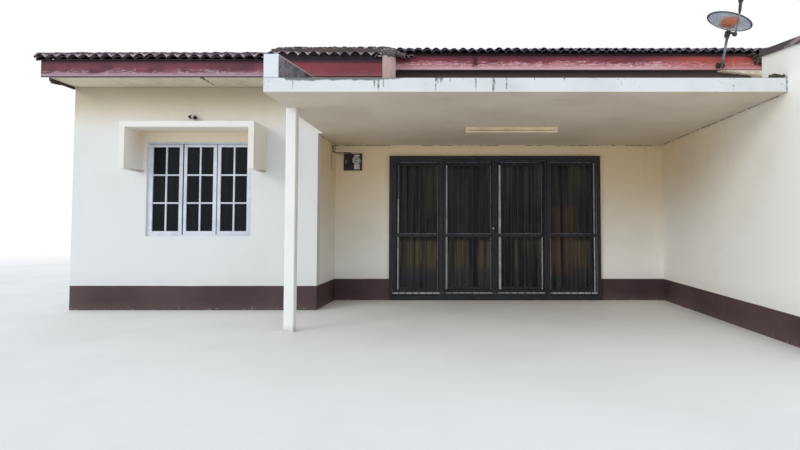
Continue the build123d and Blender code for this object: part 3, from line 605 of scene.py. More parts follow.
def coping_clay():
    """The coping's clay tiles: dark along their upper and lower edges and paler between them, by the
    height above the wall's sloping top."""
    clay = Finish("coping_clay")
    fine = clay.noise(0.03, detail=4)
    cloud = clay.noise(0.15, detail=3, start=2.0)
    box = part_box("wing_wall_coping")
    level = clay.z - box[0].z + (clay.y - box[1].y) * 0.12 + (fine - 0.5) * 0.012
    colour = clay.mixed((150, 136, 134), (112, 98, 100), cloud.rise(0.4, 0.65))
    dark = level.rise(0.044, 0.054).most(level.rise(0.011, 0.004))
    colour = colour.coat((66, 58, 64), dark * 0.9)
    return clay.close(colour, 0.75, fine, 0.002)


def return_board_paint():
    """The eaves' return board: faded pink primer with a few brown runs."""
    paint = Finish("return_board_paint")
    cloud = paint.noise(0.3, detail=4)
    run = paint.noise(0.06, detail=3, stretch=(1, 1, 0.2), start=3.0)
    colour = paint.mixed((255, 220, 216), (244, 200, 196), cloud.rise(0.45, 0.75))
    colour = colour.coat((160, 110, 106), run.rise(0.58, 0.75) * 0.5)
    return paint.close(colour, 0.6, run, 0.0015)


def soffit_boards(name, joints, faint):
    """Off-white sheets with wavy open joints and faint painted ones across them at places along X, and a dark
    painted shadow line near Y = -3 m, where the front soffit meets the front wall.
    """
    paint = Finish(name)
    cloud = paint.noise(0.6, detail=4)
    fine = paint.noise(0.04, detail=3, start=3.0)
    colour = paint.mixed((218, 207, 188), (198, 184, 162), cloud.rise(0.4, 0.75))
    wavy = paint.noise(0.10, detail=3, start=4.0)
    width = (paint.y + 3.2).rise(0.25, -0.25) * 0.010 + 0.004
    bent = paint.x + (wavy - 0.5) * 0.10
    straight = paint.x + (fine - 0.5) * 0.008
    marks = [((bent - place).maths("ABSOLUTE") - width).rise(0.003, 0.0) for place in joints]
    marks += [straight.near(place, 0.003) * 0.35 for place in faint]
    gap = marks[0].most(*marks[1:])
    stain = paint.noise(0.25, detail=4, start=7.0).rise(0.60, 0.75)
    colour = colour.coat((128, 112, 96), stain * 0.45)
    # Painted shadow line along the back, where the boards meet the front wall
    back = (paint.y + (wavy - 0.5) * 0.02).rise(-3.03, -2.995) * paint.y.rise(-2.95, -2.97)
    colour = colour.coat((96, 78, 62), back * 0.6)
    colour = colour.coat((60, 50, 44), gap * 0.85)
    return paint.close(colour, 0.7, fine, 0.002)


def enamel(name, light, dark, size=0.3, rough=0.35, wear=None):
    """Brushed paint on wood or metal, in two tones, with grime in blotches and optional wear."""
    paint = Finish(name)
    cloud = paint.noise(size, detail=4)
    fine = paint.noise(0.02, detail=4, start=3.0)
    colour = paint.mixed(light, dark, (cloud * 0.7 + fine * 0.3).rise(0.38, 0.68))
    if wear:
        spots = paint.noise(0.045, detail=5, start=6.0).rise(0.63, 0.72)
        colour = colour.coat(wear, spots * 0.8)
    return paint.close(colour, fine * 0.2 + rough, fine, 0.0008)


def floor_cement():
    """Cement floors, with the step's front under the doors painted dark."""
    paint = Finish("floor_cement")
    cloud = paint.noise(0.4, detail=4)
    colour = paint.mixed((170, 164, 156), (140, 134, 126), cloud.rise(0.4, 0.65))
    step = paint.z.rise(0.101, 0.097) * paint.y.rise(-1.86, -1.88)
    colour = colour.coat((34, 33, 38), step)
    return paint.close(colour, 0.6, cloud, 0.001)


def dark_glass(name, room_shade, streak, curtains=False):
    """Opaque glass whose dark colour is painted shade of the unlit room behind it, with the soft folds of a
    curtain behind it, faint by a share. Where curtains show they are warm below the middle rail, cool near
    the floor, greenish high up, and brown in a patch of the right panel."""
    glass = Finish(name)
    folds = glass.noise(0.07, detail=2, stretch=(1, 1, 0.03), start=2.0)
    cloud = glass.noise(0.5, detail=3, start=5.0)
    faint = folds.rise(0.40, 0.66) * cloud.rise(0.35, 0.65)
    # The glass's dark base colour is painted shade of the room behind it
    colour = glass.mixed(room_shade, (62, 55, 46), faint * streak)
    if curtains:
        warm = glass.z.rise(0.98, 0.90) * glass.z.rise(0.30, 0.62) * folds.rise(0.38, 0.64)
        cool = glass.z.rise(0.62, 0.30) * folds.rise(0.36, 0.60)
        brown = glass.x.rise(1.74, 1.84) * glass.x.rise(2.22, 2.06) * glass.z.rise(1.55, 1.40)
        brown = brown * folds.rise(0.36, 0.62) * glass.z.rise(0.3, 0.5)
        upper = glass.z.rise(1.2, 2.0) * folds.rise(0.38, 0.62)
        colour = colour.coat((104, 90, 66), warm * 0.75)
        colour = colour.coat((66, 72, 78), cool * 0.6)
        colour = colour.coat((96, 66, 48), brown * 0.65)
        colour = colour.coat((74, 78, 68), upper * 0.6)
    film = glass.noise(0.2, detail=4, start=8.0)
    return glass.close(colour, film * 0.04 + 0.02, IOR=1.5, Specular_IOR_Level=0.13)


def plain_metal(name, light, dark, rough=0.4, metal=1.0):
    """Metal with rolling marks and duller blotches."""
    steel = Finish(name)
    cloud = steel.noise(0.12, detail=4)
    marks = steel.noise(0.006, detail=2, stretch=(1, 1, 0.1), start=3.0)
    colour = steel.mixed(light, dark, cloud.rise(0.4, 0.65))
    return steel.close(colour, cloud * 0.25 + rough, marks, 0.0004, Metallic=metal)


def dish_mesh_paint():
    """Blue-grey perforated sheet: rows of round holes that let the light through, a dark grimy rim,
    and a generic orange patch of rust that fades out at its edges. Its pale blue-grey is partly the sheet's
    paint and partly painted sky light."""
    paint = Finish("dish_paint")
    reach = paint.own("dish_reach")
    cloud = paint.noise(0.16, detail=4)
    fine = paint.noise(0.02, detail=4, start=2.0)
    columns = (paint.x * (np.pi / HOLE_PITCH)).maths("SINE")
    rows = (paint.y * (np.pi / HOLE_PITCH)).maths("SINE")
    solid = (columns * rows).maths("ABSOLUTE").rise(0.44, 0.32).most(reach.rise(0.92, 0.94))
    solid = solid.most(reach.rise(0.16, 0.12))
    # Pale blue-grey: partly the sheet's paint, partly painted sky light
    colour = paint.mixed((176, 190, 210), (146, 160, 180), cloud.rise(0.4, 0.7))
    across = (paint.x - RUST[0]) * (1 / 0.13)
    deep = (paint.y - RUST[1]) * (1 / 0.25)
    spread = across * across + deep * deep + (cloud - 0.5) * 1.6 + (fine - 0.5) * 1.0
    rust = spread.rise(1.2, 0.2)
    orange = paint.mixed((255, 152, 92), (255, 140, 118), cloud.rise(0.38, 0.62))
    colour = colour.coat(orange, rust * 0.92)
    rim = reach.rise(0.93, 0.97)
    colour = colour.coat((76, 84, 98), rim)
    solid = solid.most(rust * 0.75)
    return paint.close(colour, rust * 0.3 + 0.42, fine, 0.0006, Alpha=solid)


def door_frame_paint():
    """Dark enamelled aluminium with a bare white sill."""
    paint = Finish("door_frame_paint")
    fine = paint.noise(0.02, detail=4, stretch=(1, 1, 0.2))
    dark = paint.mixed((38, 38, 46), (26, 26, 33), fine.rise(0.4, 0.65))
    worn = paint.noise(0.09, detail=4).rise(0.42, 0.7)
    white = paint.mixed((224, 228, 232), (178, 180, 182), worn)
    colour = paint.mixed(dark, white, paint.z.rise(0.119, 0.115))
    return paint.close(colour, fine * 0.2 + 0.35)


def meter_board_paint():
    """A dark maroon board with a black fuse carrier, silver meter, and two white cards left bare, and a pale
    upright line on the fuse carrier that is a painted glint.
    """
    paint = Finish("meter_board_paint")
    fine = paint.noise(0.015, detail=4)
    cloud = paint.noise(0.06, detail=4, start=2.0)
    colour = paint.mixed((74, 34, 30), (40, 20, 20), cloud.rise(0.4, 0.65))
    fuse = paint.x.rise(-1.424, -1.430) * paint.z.rise(2.136, 2.140)
    colour = colour.coat((26, 21, 23), fuse * 0.9)
    # Painted glint: a pale upright line on the fuse carrier
    strip = paint.x.near(-1.497, 0.006) * paint.z.rise(2.160, 2.166) * paint.z.rise(2.215, 2.205)
    colour = colour.coat((150, 140, 132), strip * 0.8)
    across = paint.x - METER_X
    up = paint.z - METER_Z
    dial = (across * across + up * up).maths("SQRT").rise(0.0605, 0.0595)
    silver = paint.mixed((186, 190, 190), (140, 142, 142), cloud.rise(0.4, 0.7))
    colour = colour.coat(silver, dial)
    column = across.maths("ABSOLUTE").rise(0.046, 0.042) * paint.y.rise(-1.893, -1.895)
    high_card = paint.z.rise(2.268, 2.271) * paint.z.rise(2.303, 2.300)
    low_card = paint.z.rise(2.146, 2.143) * paint.z.rise(2.066, 2.070)
    faded = (cloud * 0.5 + fine * 0.5).rise(0.46, 0.62)
    white = paint.mixed((232, 228, 222), (176, 166, 158), faded)
    colour = colour.coat(white, column * high_card.most(low_card) * 0.92)
    return paint.close(colour, fine * 0.2 + 0.4, fine, 0.0006)


# Roof tiles


def roll_shape(part):
    """Height across one tile: the sine of half a turn to the power 0.85, a round roll that meets the
    next one in a sharp valley, from 0 at its crest down to minus its height."""
    return ROLL_HEIGHT * (np.sin(np.pi * part) ** 0.85 - 1)


def tilt(far, front):
    """Height added up the slope: one value at the eaves, 36 mm from 0.35 m to 1.6 m, and then down to
    minus 25 mm at the ridge."""
    return np.interp(far, [0, 0.35, 1.6, RUN], [front, 0.036, 0.036, -0.025])


def tile_field(name, x, first, lift, front=0.026, rear=False, rows=COURSES, finish=None):
    """A field of tiles between two X places, from a distance past the eaves up to the ridge. Each
    course falls by the tile's sink towards its upper end and steps down under the next one's end,
    and the roll shape runs across it. The sheet folds under itself at the eaves and the verges."""
    count = max(1, round((x[1] - x[0]) / ROLL))
    width = (x[1] - x[0]) / count
    part = np.linspace(0, 1, TILE_STEPS)
    across = (x[0] + (np.arange(count)[:, None] + part[None]) * width).ravel()
    tile = np.repeat(np.arange(count), TILE_STEPS)
    shape = np.tile(roll_shape(part), count)
    start = int(np.ceil((first + 0.02) / COURSE))
    lows = np.array([first, *(np.arange(start, COURSES) * COURSE)])
    lows = lows[np.concatenate([[True], np.diff(lows) > 0.05])]
    highs = np.append(lows[1:], RUN)
    lows, highs = lows[:rows], highs[:rows]
    reach = np.stack([lows, lows + 0.018, (lows + highs) / 2, highs + 0.012], 1)
    reach[-1, -1] = highs[-1]
    courses = len(lows)
    course = np.repeat(np.arange(courses), 4)
    drop = np.tile([0.0, 0.001, 0.5 * TILE_SINK, TILE_SINK], courses)
    end = np.tile([1.0, 0.25, 0.0, 0.0], courses)
    slip = np.tile([1.0, 1.0, 0.0, 0.0], courses)
    nudge = chance.uniform(-1, 1, (3, courses, count))[:, course][:, :, tile]
    far = reach.ravel()[:, None] + slip[:, None] * (0.5 + 0.5 * nudge[0]) * TILE_SLIP
    rise = tilt(far, front) + lift - 0.004 + shape - drop[:, None] + nudge[1] * TILE_TIP
    level = Z_EAVES + SLOPE * far + rise
    sideways = np.clip(across + nudge[2] * TILE_SHIFT, x[0], x[1])
    shade = 0.5 + 0.5 * nudge[2]
    crest = np.tile(1 + shape / ROLL_HEIGHT, (len(far), 1))
    tips = np.repeat(end[:, None], len(across), 1)

    along = np.concatenate([[0, 0], np.arange(len(far))])
    sidelong = np.concatenate([[0, 0], np.arange(len(across)), [len(across) - 1] * 2])
    folded = np.ix_(along, sidelong)
    far, level, sideways = far[folded], level[folded], sideways[folded]
    shade, crest, tips = shade[folded], crest[folded], tips[folded]
    far[0] += EAVES_FOLD
    level[0] += SLOPE * EAVES_FOLD
    level[:2] -= TILE_END
    crest[0] *= 0.2
    crest[1] *= 0.6
    tips[0] = 0
    level[:, :2] -= VERGE_DROP
    level[:, -2:] -= VERGE_DROP
    sideways[:, 0] = x[0] + VERGE_FOLD
    sideways[:, -1] = x[1] - VERGE_FOLD
    depth = Y_REAR_EDGE - far if rear else Y_EDGE + far
    points = np.stack([sideways, depth, level], -1)
    faces = quads(*far.shape)
    if rear:
        faces = faces[:, ::-1]
    values = {"tile_shade": shade, "tile_end": tips, "tile_crest": crest}
    return new_piece(name, points, faces, finish or TILES, slot="roof_tiles", values=values)


def roof_boarding(name, x, first, low, high, rear=False):
    """The boarding that carries the tiles: a sheet between two heights above the roof's underside
    line, with a groove 6 mm deep at each board, 150 mm apart up the slope."""
    steps = int((RUN - first) / BOARD_WIDTH)
    edges = first + np.arange(steps + 1) * (RUN - first) / steps
    low_edges, high_edges = edges[:-1], edges[1:]
    places = [low_edges, low_edges + BOARD_GROOVE, high_edges - BOARD_GROOVE, high_edges]
    far = np.stack(places, 1).ravel()
    groove = np.tile([BOARD_GROOVE, 0.0, 0.0, BOARD_GROOVE], steps)
    bottom = Z_EAVES + SLOPE * far + low + groove
    top = Z_EAVES + SLOPE * far + high
    far = np.concatenate([far, far[::-1], far[:1]])
    level = np.concatenate([bottom, top[::-1], bottom[:1]])
    depth = Y_REAR_EDGE - far if rear else Y_EDGE + far
    rings = [np.stack([np.full(len(far), place), depth, level], -1) for place in x]
    middle = [ring.mean(0) * np.ones((len(far), 1)) for ring in rings]
    points = np.stack([middle[0], rings[0], rings[1], middle[1]])
    piece = new_piece(name, points, quads(4, len(far)), BOARDING, slot="roof_tiles", smooth=False)
    return weld(piece)


def ridge_tiles():
    """Half-round ridge tiles end to end: over each tile's length its half-ellipse shrinks by a
    tenth from its socket to its spigot, a collar stands 7 mm proud at the socket, and both ends of
    the row are plugged with mortar."""
    turn = np.linspace(np.pi, 0, RIDGE_POINTS)
    half = 0.13
    tall = 0.08 + SLOPE * half
    rows, shade, collar = [], [], []
    high_base = Z_RIDGE + HIGH_TOP - LOW_THICKNESS
    for left, right, base in ((X_VERGE, X_BREAK, Z_RIDGE), (X_BREAK, X_RIGHT_VERGE, high_base)):
        count = round((right - left) / RIDGE_TILE)
        edges = np.linspace(left, right, count + 1)
        lift = base - RIDGE_SINK - SLOPE * half + chance.uniform(-0.004, 0.0, count)
        for number in range(count):
            long = edges[number + 1] - edges[number]
            for part, size, step in RIDGE_RINGS:
                place = np.full(RIDGE_POINTS, edges[number] + part * long)
                out = Y_RIDGE + np.cos(turn) * half * size
                rows.append(np.stack([place, out, lift[number] + np.sin(turn) * tall * size], -1))
                shade.append(np.full(RIDGE_POINTS, (number * 0.37) % 1))
                collar.append(np.full(RIDGE_POINTS, step))
    plugs = [np.ones((RIDGE_POINTS, 1)) * (ring.mean(0) + [0, 0, -0.02]) for ring in (rows[0], rows[-1])]
    rows = np.array([plugs[0], *rows, plugs[1]])
    shade = np.array([shade[0], *shade, shade[-1]])
    collar = np.array([collar[0] * 0, *collar, collar[-1] * 0])
    values = {"tile_shade": shade, "tile_end": collar, "tile_crest": np.full_like(shade, 0.8)}
    faces = quads(len(rows), RIDGE_POINTS)[:, ::-1]
    piece = new_piece("ridge_tiles", rows, faces, TILES, slot="roof_tiles", values=values)
    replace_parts(piece, "ridge_cap")


TILES = tile_clay("weathered_tiles")
BOARDING = enamel("roof_boarding", (96, 78, 70), (58, 48, 44), size=0.4, rough=0.7)
# The dark undercourse under the left eaves' first tiles: the clay's own dark, with painted shade under the
# tile ends
UNDER = enamel("undercourse_clay_and_shade", (74, 62, 66), (36, 30, 34), size=0.05, rough=0.85)
UNDER_GREY = enamel("undercourse_grey", (104, 100, 114), (70, 66, 78), size=0.05, rough=0.85)

# Each roof: its name's ending, the node it replaces, its ends along X and the boarding's, how far its
# eaves are set back, and the tilt of its first course
ROOFS = (
    ("left_front", "roof_left_front", (X_VERGE, X_BREAK), (0.03, 0.0), 0.0, 0.026),
    ("left_rear", "roof_left_rear", (X_VERGE, X_BREAK), (0.03, 0.0), 0.0, 0.026),
    ("step_front", "roof_right_front", (X_BREAK, X_EAVES_END), (0.0, 0.0), 0.0, -0.030),
    ("right_front", None, (X_EAVES_END, X_RIGHT_VERGE), (0.0, 0.03), HIGH_START, 0.026),
    ("right_rear", "roof_right_rear", (X_BREAK, X_RIGHT_VERGE), (0.0, 0.03), 0.0, 0.026),
)
for name, node, ends, inset, first, front in ROOFS:
    rear = name.endswith("rear")
    low, high, sheet = HIGH_LIFT, HIGH_TOP, 0.005
    if name.startswith("left"):
        low, high, sheet = 0.0, LOW_THICKNESS, 0.004
    tiles = tile_field("tiles_" + name, ends, first, high, front, rear)
    if node:
        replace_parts(tiles, node)
    boards = (ends[0] + inset[0], ends[1] - inset[1])
    roof_boarding("boards_" + name, boards, first + 0.02, low, low + sheet, rear)
ridge_tiles()
ends, lift = (X_VERGE + 0.02, X_BREAK), LOW_THICKNESS - 0.034
tile_field("undercourse_left", ends, 0.014, lift, 0.024, rows=1, finish=UNDER)
ends, lift = (X_EAVES_END, X_RIGHT_VERGE - 0.02), HIGH_TOP - 0.024
tile_field("undercourse_right", ends, HIGH_START + 0.012, lift, rows=1, finish=UNDER_GREY)


def tile_battens(name, x, places, base, rear=False):
    """Battens under the tiles, level bars that fill the space between the boarding and the valleys:
    each stands from a base height above the underside line to 70 mm over it."""
    far = np.asarray(places, float)
    middle = Z_EAVES + SLOPE * far + base + BATTEN_HEIGHT / 2 - 0.001
    depth = Y_REAR_EDGE - far if rear else Y_EDGE + far
    starts = np.stack([np.full(len(far), x[0] + BATTEN_GAP), depth, middle], 1)
    ends = starts + [x[1] - x[0] - 2 * BATTEN_GAP, 0, 0]
    shape = bars(starts, ends, (0, 1, 0), rounded(BATTEN_WIDTH, BATTEN_HEIGHT, 0.003))
    weld(new_piece(name, *shape, BOARDING, slot="roof_tiles", smooth=False))


BATTENS = (0.34, 1.58, 2.7, 3.8)
tile_battens("battens_left_front", (X_VERGE, X_BREAK), BATTENS, 0.0)
tile_battens("battens_left_rear", (X_VERGE, X_BREAK), BATTENS, 0.0, rear=True)
tile_battens("battens_step_front", (X_BREAK, X_EAVES_END), (0.12, 0.34, 1.3), HIGH_LIFT)
tile_battens("battens_right_front", (X_BREAK, X_RIGHT_VERGE), (1.78, 2.7, 3.8), HIGH_LIFT)
tile_battens("battens_right_rear", (X_BREAK, X_RIGHT_VERGE), BATTENS, HIGH_LIFT, rear=True)


# Window bars


def window_bars(name, windows, glass_node):
    """Glazing bars on each casement: one upright in the middle and two level bars at the thirds of
    its glass, with rounded edges, standing through the glass."""
    shapes = []
    outline = rounded(0.024, 0.034, 0.006)
    low, high = (UP * corner.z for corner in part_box(glass_node))
    for centre, right, out in windows:
        for middle in (centre - right * SASH_PITCH, centre, centre + right * SASH_PITCH):
            shapes.append(bars(middle + low - UP * 0.004, middle + high + UP * 0.004, right, outline))
            for third in (1 / 3, 2 / 3):
                level = middle + low + (high - low) * third
                half = right * SASH_GLASS
                shapes.append(bars(level - half, level + half, UP, outline * [0.92, 0.96]))
    weld(new_piece(name, *together(*shapes), FRAME_WHITE, slot="window_paint", smooth=False))


def window_shadow_gaps(windows):
    """Painted shadow gaps between the casements and along their heads: dark flat strips standing 1 mm proud
    of the frame; a strip's outline is a thin rectangle with its corners rounded."""
    shapes = []
    for centre, right, out in windows:
        face = centre + out * 0.0235
        for offset, width in ((-0.2325, 0.015), (0.2405, 0.010)):
            low = face + right * offset + UP * (SASH_LOW - 0.012)
            high = low + UP * (SASH_HIGH - SASH_LOW + 0.016)
            shapes.append(bars(low, high, right, rounded(width, 0.004, 0.001)))
        head = face + UP * (SASH_HIGH + 0.006)
        shapes.append(bars(head - right * 0.70, head + right * 0.70, UP, rounded(0.006, 0.004, 0.001)))
    weld(new_piece("window_shadow_gaps", *together(*shapes), SHADOW_GAP, slot="window_paint", smooth=False))


SASH_PITCH = 0.475
SASH_GLASS = 0.185
SASH_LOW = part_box("front_window_casements")[0].z
SASH_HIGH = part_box("front_window_casements")[1].z
# Near-black paint for the painted shadow gaps between the casements
SHADOW_GAP = enamel("window_shadow_gap_paint", (40, 42, 48), (28, 28, 32), size=0.05, rough=0.7)
FRAME_WHITE = enamel("window_enamel", (220, 226, 236), (194, 201, 213), size=0.25, rough=0.3)
left_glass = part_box("front_window_glass")
rest_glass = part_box("plain_window_glass")
rear_y = rest_glass[1].y - 0.0035
# Each window: its middle, the direction along it and the direction out of it
middle = ((left_glass[0].x + left_glass[1].x) / 2, (left_glass[0].y + left_glass[1].y) / 2, 0)
front_window = np.array([[middle, (1, 0, 0), (0, -1, 0)]])
plain_windows = np.array([
    [(rest_glass[0].x + 0.0035, 1.5, 0), (0, -1, 0), (-1, 0, 0)],
    [(-2.355, rear_y, 0), (-1, 0, 0), (0, 1, 0)],
    [(2.245, rear_y, 0), (-1, 0, 0), (0, 1, 0)],
])
window_bars("front_window_bars", front_window, "front_window_glass")
window_bars("plain_window_bars", plain_windows, "plain_window_glass")
window_shadow_gaps([*front_window, *plain_windows])

# Satellite dish

MAST_FOOT = np.array([4.428, -2.066, 3.662])
MOUNT = np.array([4.530, -2.075, 4.192])
MAST_TIP = np.array([4.5042, -2.075, 4.2466])
DISH_AXIS = np.array([0.33682, -0.05939, 0.93969])
DISH_AXIS /= np.linalg.norm(DISH_AXIS)
DISH_VERTEX = MAST_TIP + 0.085 * DISH_AXIS
DISH_RADIUS = 0.338
DISH_SAG = 0.067
HOLE_PITCH = 0.009
RUST = (DISH_VERTEX[0] - 0.01, DISH_VERTEX[1] - 0.07)


def dish_bowl():
    """The bowl: its height is the sag times the square of the radius over the rim's radius, its
    sheet is 3 mm thick, and the rim rolls over in a bead 6 mm in radius."""
    reach = np.linspace(0, 1, 22)
    front = np.stack([reach * DISH_RADIUS, DISH_SAG * reach**2 + 0.0035], 1)
    turn = np.linspace(np.pi * 0.75, -np.pi * 0.75, 9)
    bead = np.stack([np.cos(turn), np.sin(turn)], 1) * 0.006 + [DISH_RADIUS, DISH_SAG]
    back = np.stack([reach * DISH_RADIUS, DISH_SAG * reach**2], 1)[::-1]
    profile = np.concatenate([front[:-1], bead, back[1:]])
    shape = turned(profile, DISH_VERTEX, DISH_AXIS, 64)
    values = {"dish_reach": np.repeat(profile[:, 0] / DISH_RADIUS, 64)}
    piece = new_piece("dish_bowl", *shape, dish_mesh_paint(), slot="dish_metal", values=values)
    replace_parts(weld(piece), "dish_reflector")


ARM_PAINT = plain_metal("arm_steel", (120, 118, 122), (80, 76, 80), rough=0.45, metal=0.3)
HEAD_PLASTIC = enamel("feed_head_plastic", (72, 66, 70), (44, 42, 48), size=0.05, rough=0.5)
CLAMP = enamel("clamp_paint", (50, 44, 52), (32, 28, 34), size=0.05, rough=0.6)
STEEL = plain_metal("mast_steel_finish", (132, 130, 144), (98, 96, 108), rough=0.5, metal=0.3)
ARM_PALE = plain_metal("arm_galvanised", (160, 162, 176), (126, 128, 140), rough=0.5, metal=0.2)


def feed_arm():
    """The feed arm: a bracket beside the mount, a tube from it under the bowl, round its near rim and
    up to the feed, and the feed's bell. The tube's radius grows from 9 to 24 mm up the arm."""
    side = np.cross(DISH_AXIS, [0.0, 1.0, 0.0])
    side = side / np.linalg.norm(side)
    start = MOUNT + [0.020, -0.020, 0.020]
    bracket = bars(start, start - side * 0.080, DISH_AXIS, rounded(0.030, 0.040, 0.006))
    profile = [(0, -0.030), (0.024, -0.030), (0.034, -0.020), (0.034, 0.020), (0.024, 0.030), (0, 0.030)]
    cap = turned(profile, start - side * 0.085, DISH_AXIS, 16)
    foot = start - side * 0.095
    knee = DISH_VERTEX + [-0.005, -0.375, 0.021]
    tip = DISH_VERTEX + [-0.087, -0.587, 0.143]
    part = np.linspace(0, 1, 14)[:, None]
    path = np.concatenate([foot * (1 - part) + knee * part, (knee * (1 - part) + tip * part)[1:]])
    path = eased(path, 2)
    size = np.interp(np.arange(len(path)), [0, 13, 18, 26], [0.009, 0.012, 0.022, 0.024])
    split = 15
    lower, upper = tube(path[: split + 1], size[: split + 1]), tube(path[split:], size[split:])
    weld(new_piece("arm_bracket", *together(bracket, cap), HEAD_PLASTIC, slot="mast_steel"))
    weld(new_piece("arm_lower", *lower, ARM_PALE, slot="mast_steel"))
    weld(new_piece("arm_upper", *upper, ARM_PAINT, slot="mast_steel"))
    along = (tip - knee) / np.linalg.norm(tip - knee)
    profile = [
        (0, -0.012),
        (0.020, -0.012),
        (0.024, 0.0),
        (0.034, 0.004),
        (0.036, 0.02),
        (0.036, 0.058),
        (0.030, 0.066),
        (0.026, 0.080),
        (0.016, 0.092),
        (0, 0.094),
    ]
    head = new_piece("feed_head", *turned(profile, tip, along, 24), HEAD_PLASTIC, slot="board_plastic")
    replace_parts(weld(head), "dish_arm")


def mast():
    """The leaning mast: a tube of 21 mm radius on a bent foot plate with two cheeks and a bolt, a
    dark clamp block at its top with a collar under it, and a thin neck up to the bowl's middle."""
    foot = MAST_FOOT
    path = [foot + [0, 0, 0.01], (foot + MOUNT) / 2, MOUNT + [0.002, 0, 0.01]]
    shaft = tube(path, [0.021, 0.021, 0.020], 16)
    profile = [(0, -0.012), (0.026, -0.012), (0.028, 0.0), (0.026, 0.012), (0, 0.012)]
    collar = turned(profile, MOUNT - [0.010, 0, 0.062], (0.17, 0, 0.98), 20)
    neck = tube([MOUNT + [0, 0, 0.03], DISH_VERTEX - DISH_AXIS * 0.004], [0.013, 0.016], 12)
    weld(new_piece("mast_tube", *together(shaft, collar), STEEL, slot="mast_steel"))
    weld(new_piece("mast_neck", *neck, ARM_PALE, slot="mast_steel"))
    outline = rounded(0.072, 0.066, 0.010)
    block = bars(MOUNT - [0.014, 0, 0.046], MOUNT + [0.002, 0, 0.044], (1, 0, 0), outline)
    outline = rounded(0.075, 0.008, 0.002)
    plate = bars(foot + [-0.036, 0.052, 0.0], foot + [-0.020, 0.052, 0.085], (1, 0, 0), outline)
    starts = foot + [[-0.026, 0.050, 0.030], [0.030, 0.050, 0.030]]
    cheeks = bars(starts, starts - [0, 0.080, 0], (1, 0, 0), rounded(0.008, 0.062, 0.002))
    profile = [(0, 0), (0.012, 0), (0.014, 0.004), (0.010, 0.010), (0, 0.011)]
    boss = turned(profile, foot + [0.030, -0.002, 0.018], (1, 0, 0), 16)
    shape = together(block, plate, cheeks, boss)
    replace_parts(weld(new_piece("mast_clamps", *shape, CLAMP, slot="mast_steel", smooth=False)), "dish_mast")


dish_bowl()
feed_arm()
mast()

# Broken mortar and tiles at the ends of the set-back eaves


def mortar_bed(name, path, radius, finish, steps=60):
    """A lumpy bed along a path: a tube whose radius is scaled by one plus sums of sines of the place
    along it and of the turn round it, with random phases."""
    path = spread(path, steps)
    path[1:-1] += chance.uniform(-1, 1, (steps - 2, 3)) * radius * 0.12
    count = 14
    points, faces = tube(path, radius, count)
    rings = points.reshape(-1, count, 3)
    middles = rings.mean(1, keepdims=True)
    along = np.arange(len(rings))[:, None]
    turn = np.arange(count)[None] * 2 * np.pi / count
    swell = np.ones((len(rings), count))
    for pitch, round_about, share in ((0.35, 1, 0.20), (0.8, 2, 0.17), (1.9, 3, 0.13), (2.7, 4, 0.10)):
        phase = chance.uniform(0, 2 * np.pi, 2)
        swell = swell + share * np.sin(along * pitch + phase[0]) * np.cos(turn * round_about + phase[1])
    points = middles + (rings - middles) * swell[:, :, None]
    return weld(new_piece(name, points, faces, finish, slot="roof_tiles"))


def tile_shards(name, centres, finish):
    """Broken pieces of tile: arcs of a ring 12 mm thick and 62 mm in radius, each run along its own
    direction for its own length."""
    centres = np.asarray(centres, float)
    count = len(centres)
    turn = np.linspace(0.45, np.pi - 0.45, 9)
    ring = np.stack([np.cos(turn), np.sin(turn)], 1)
    outline = np.concatenate([ring * 0.062, ring[::-1] * 0.050]) - [0, 0.056]
    along = [chance.uniform(-0.5, 0.5, count), np.ones(count), chance.uniform(-0.1, 0.55, count)]
    along = np.stack(along, 1)
    along = along / np.linalg.norm(along, axis=1, keepdims=True)
    across = np.cross(along, [0.0, 0.0, 1.0] + chance.uniform(-0.45, 0.45, (count, 3)))
    across = across / np.linalg.norm(across, axis=1, keepdims=True)
    half = chance.uniform(0.03, 0.075, (count, 1))
    points, faces = bars(centres - along * half, centres + along * half, -across, outline)
    weld(new_piece(name, points, faces, finish, slot="roof_tiles", smooth=False))


RUBBLE = enamel("broken_mortar", (128, 116, 122), (56, 48, 54), 0.045, 0.85, (170, 158, 160))
MOSS = enamel("mossy_mortar", (96, 88, 72), (36, 33, 28), 0.04, 0.9, (170, 150, 140))
verge_line = [(-0.750, -3.50, 3.440), (-0.735, -2.80, 3.650)]
verge_line += [(-0.715, -2.08, 3.868), (-0.560, -2.02, 3.868)]
verge_places = [
    (-0.775, -3.47, 3.425),
    (-0.735, -3.46, 3.450),
    (-0.725, -3.20, 3.520),
    (-0.745, -2.95, 3.590),
    (-0.715, -2.70, 3.670),
    (-0.730, -2.45, 3.750),
    (-0.700, -2.20, 3.830),
    (-0.650, -2.04, 3.872),
    (-0.590, -2.03, 3.862),
    (-0.530, -2.02, 3.868),
    (-0.470, -2.01, 3.880),
]
rubble_line = [(4.99, -2.00, 3.800), (5.10, -2.01, 3.775), (5.205, -2.00, 3.810)]
rubble_places = [
    (4.93, -2.03, 3.885),
    (4.99, -2.03, 3.860),
    (5.05, -2.03, 3.840),
    (5.10, -2.04, 3.870),
    (5.16, -2.03, 3.835),
    (5.19, -2.03, 3.870),
    (5.03, -2.01, 3.770),
    (5.12, -2.01, 3.745),
]
debris_line = [(3.360, -5.335, 2.612), (3.43, -5.33, 2.618), (3.50, -5.335, 2.612)]
mortar_bed("verge_mortar", verge_line, 0.040, RUBBLE)
tile_shards("verge_shards", verge_places, RUBBLE)
mortar_bed("eaves_rubble", rubble_line, 0.046, MOSS, 30)
tile_shards("rubble_shards", rubble_places, MOSS)
mortar_bed("canopy_debris", debris_line, 0.024, MOSS, 24)


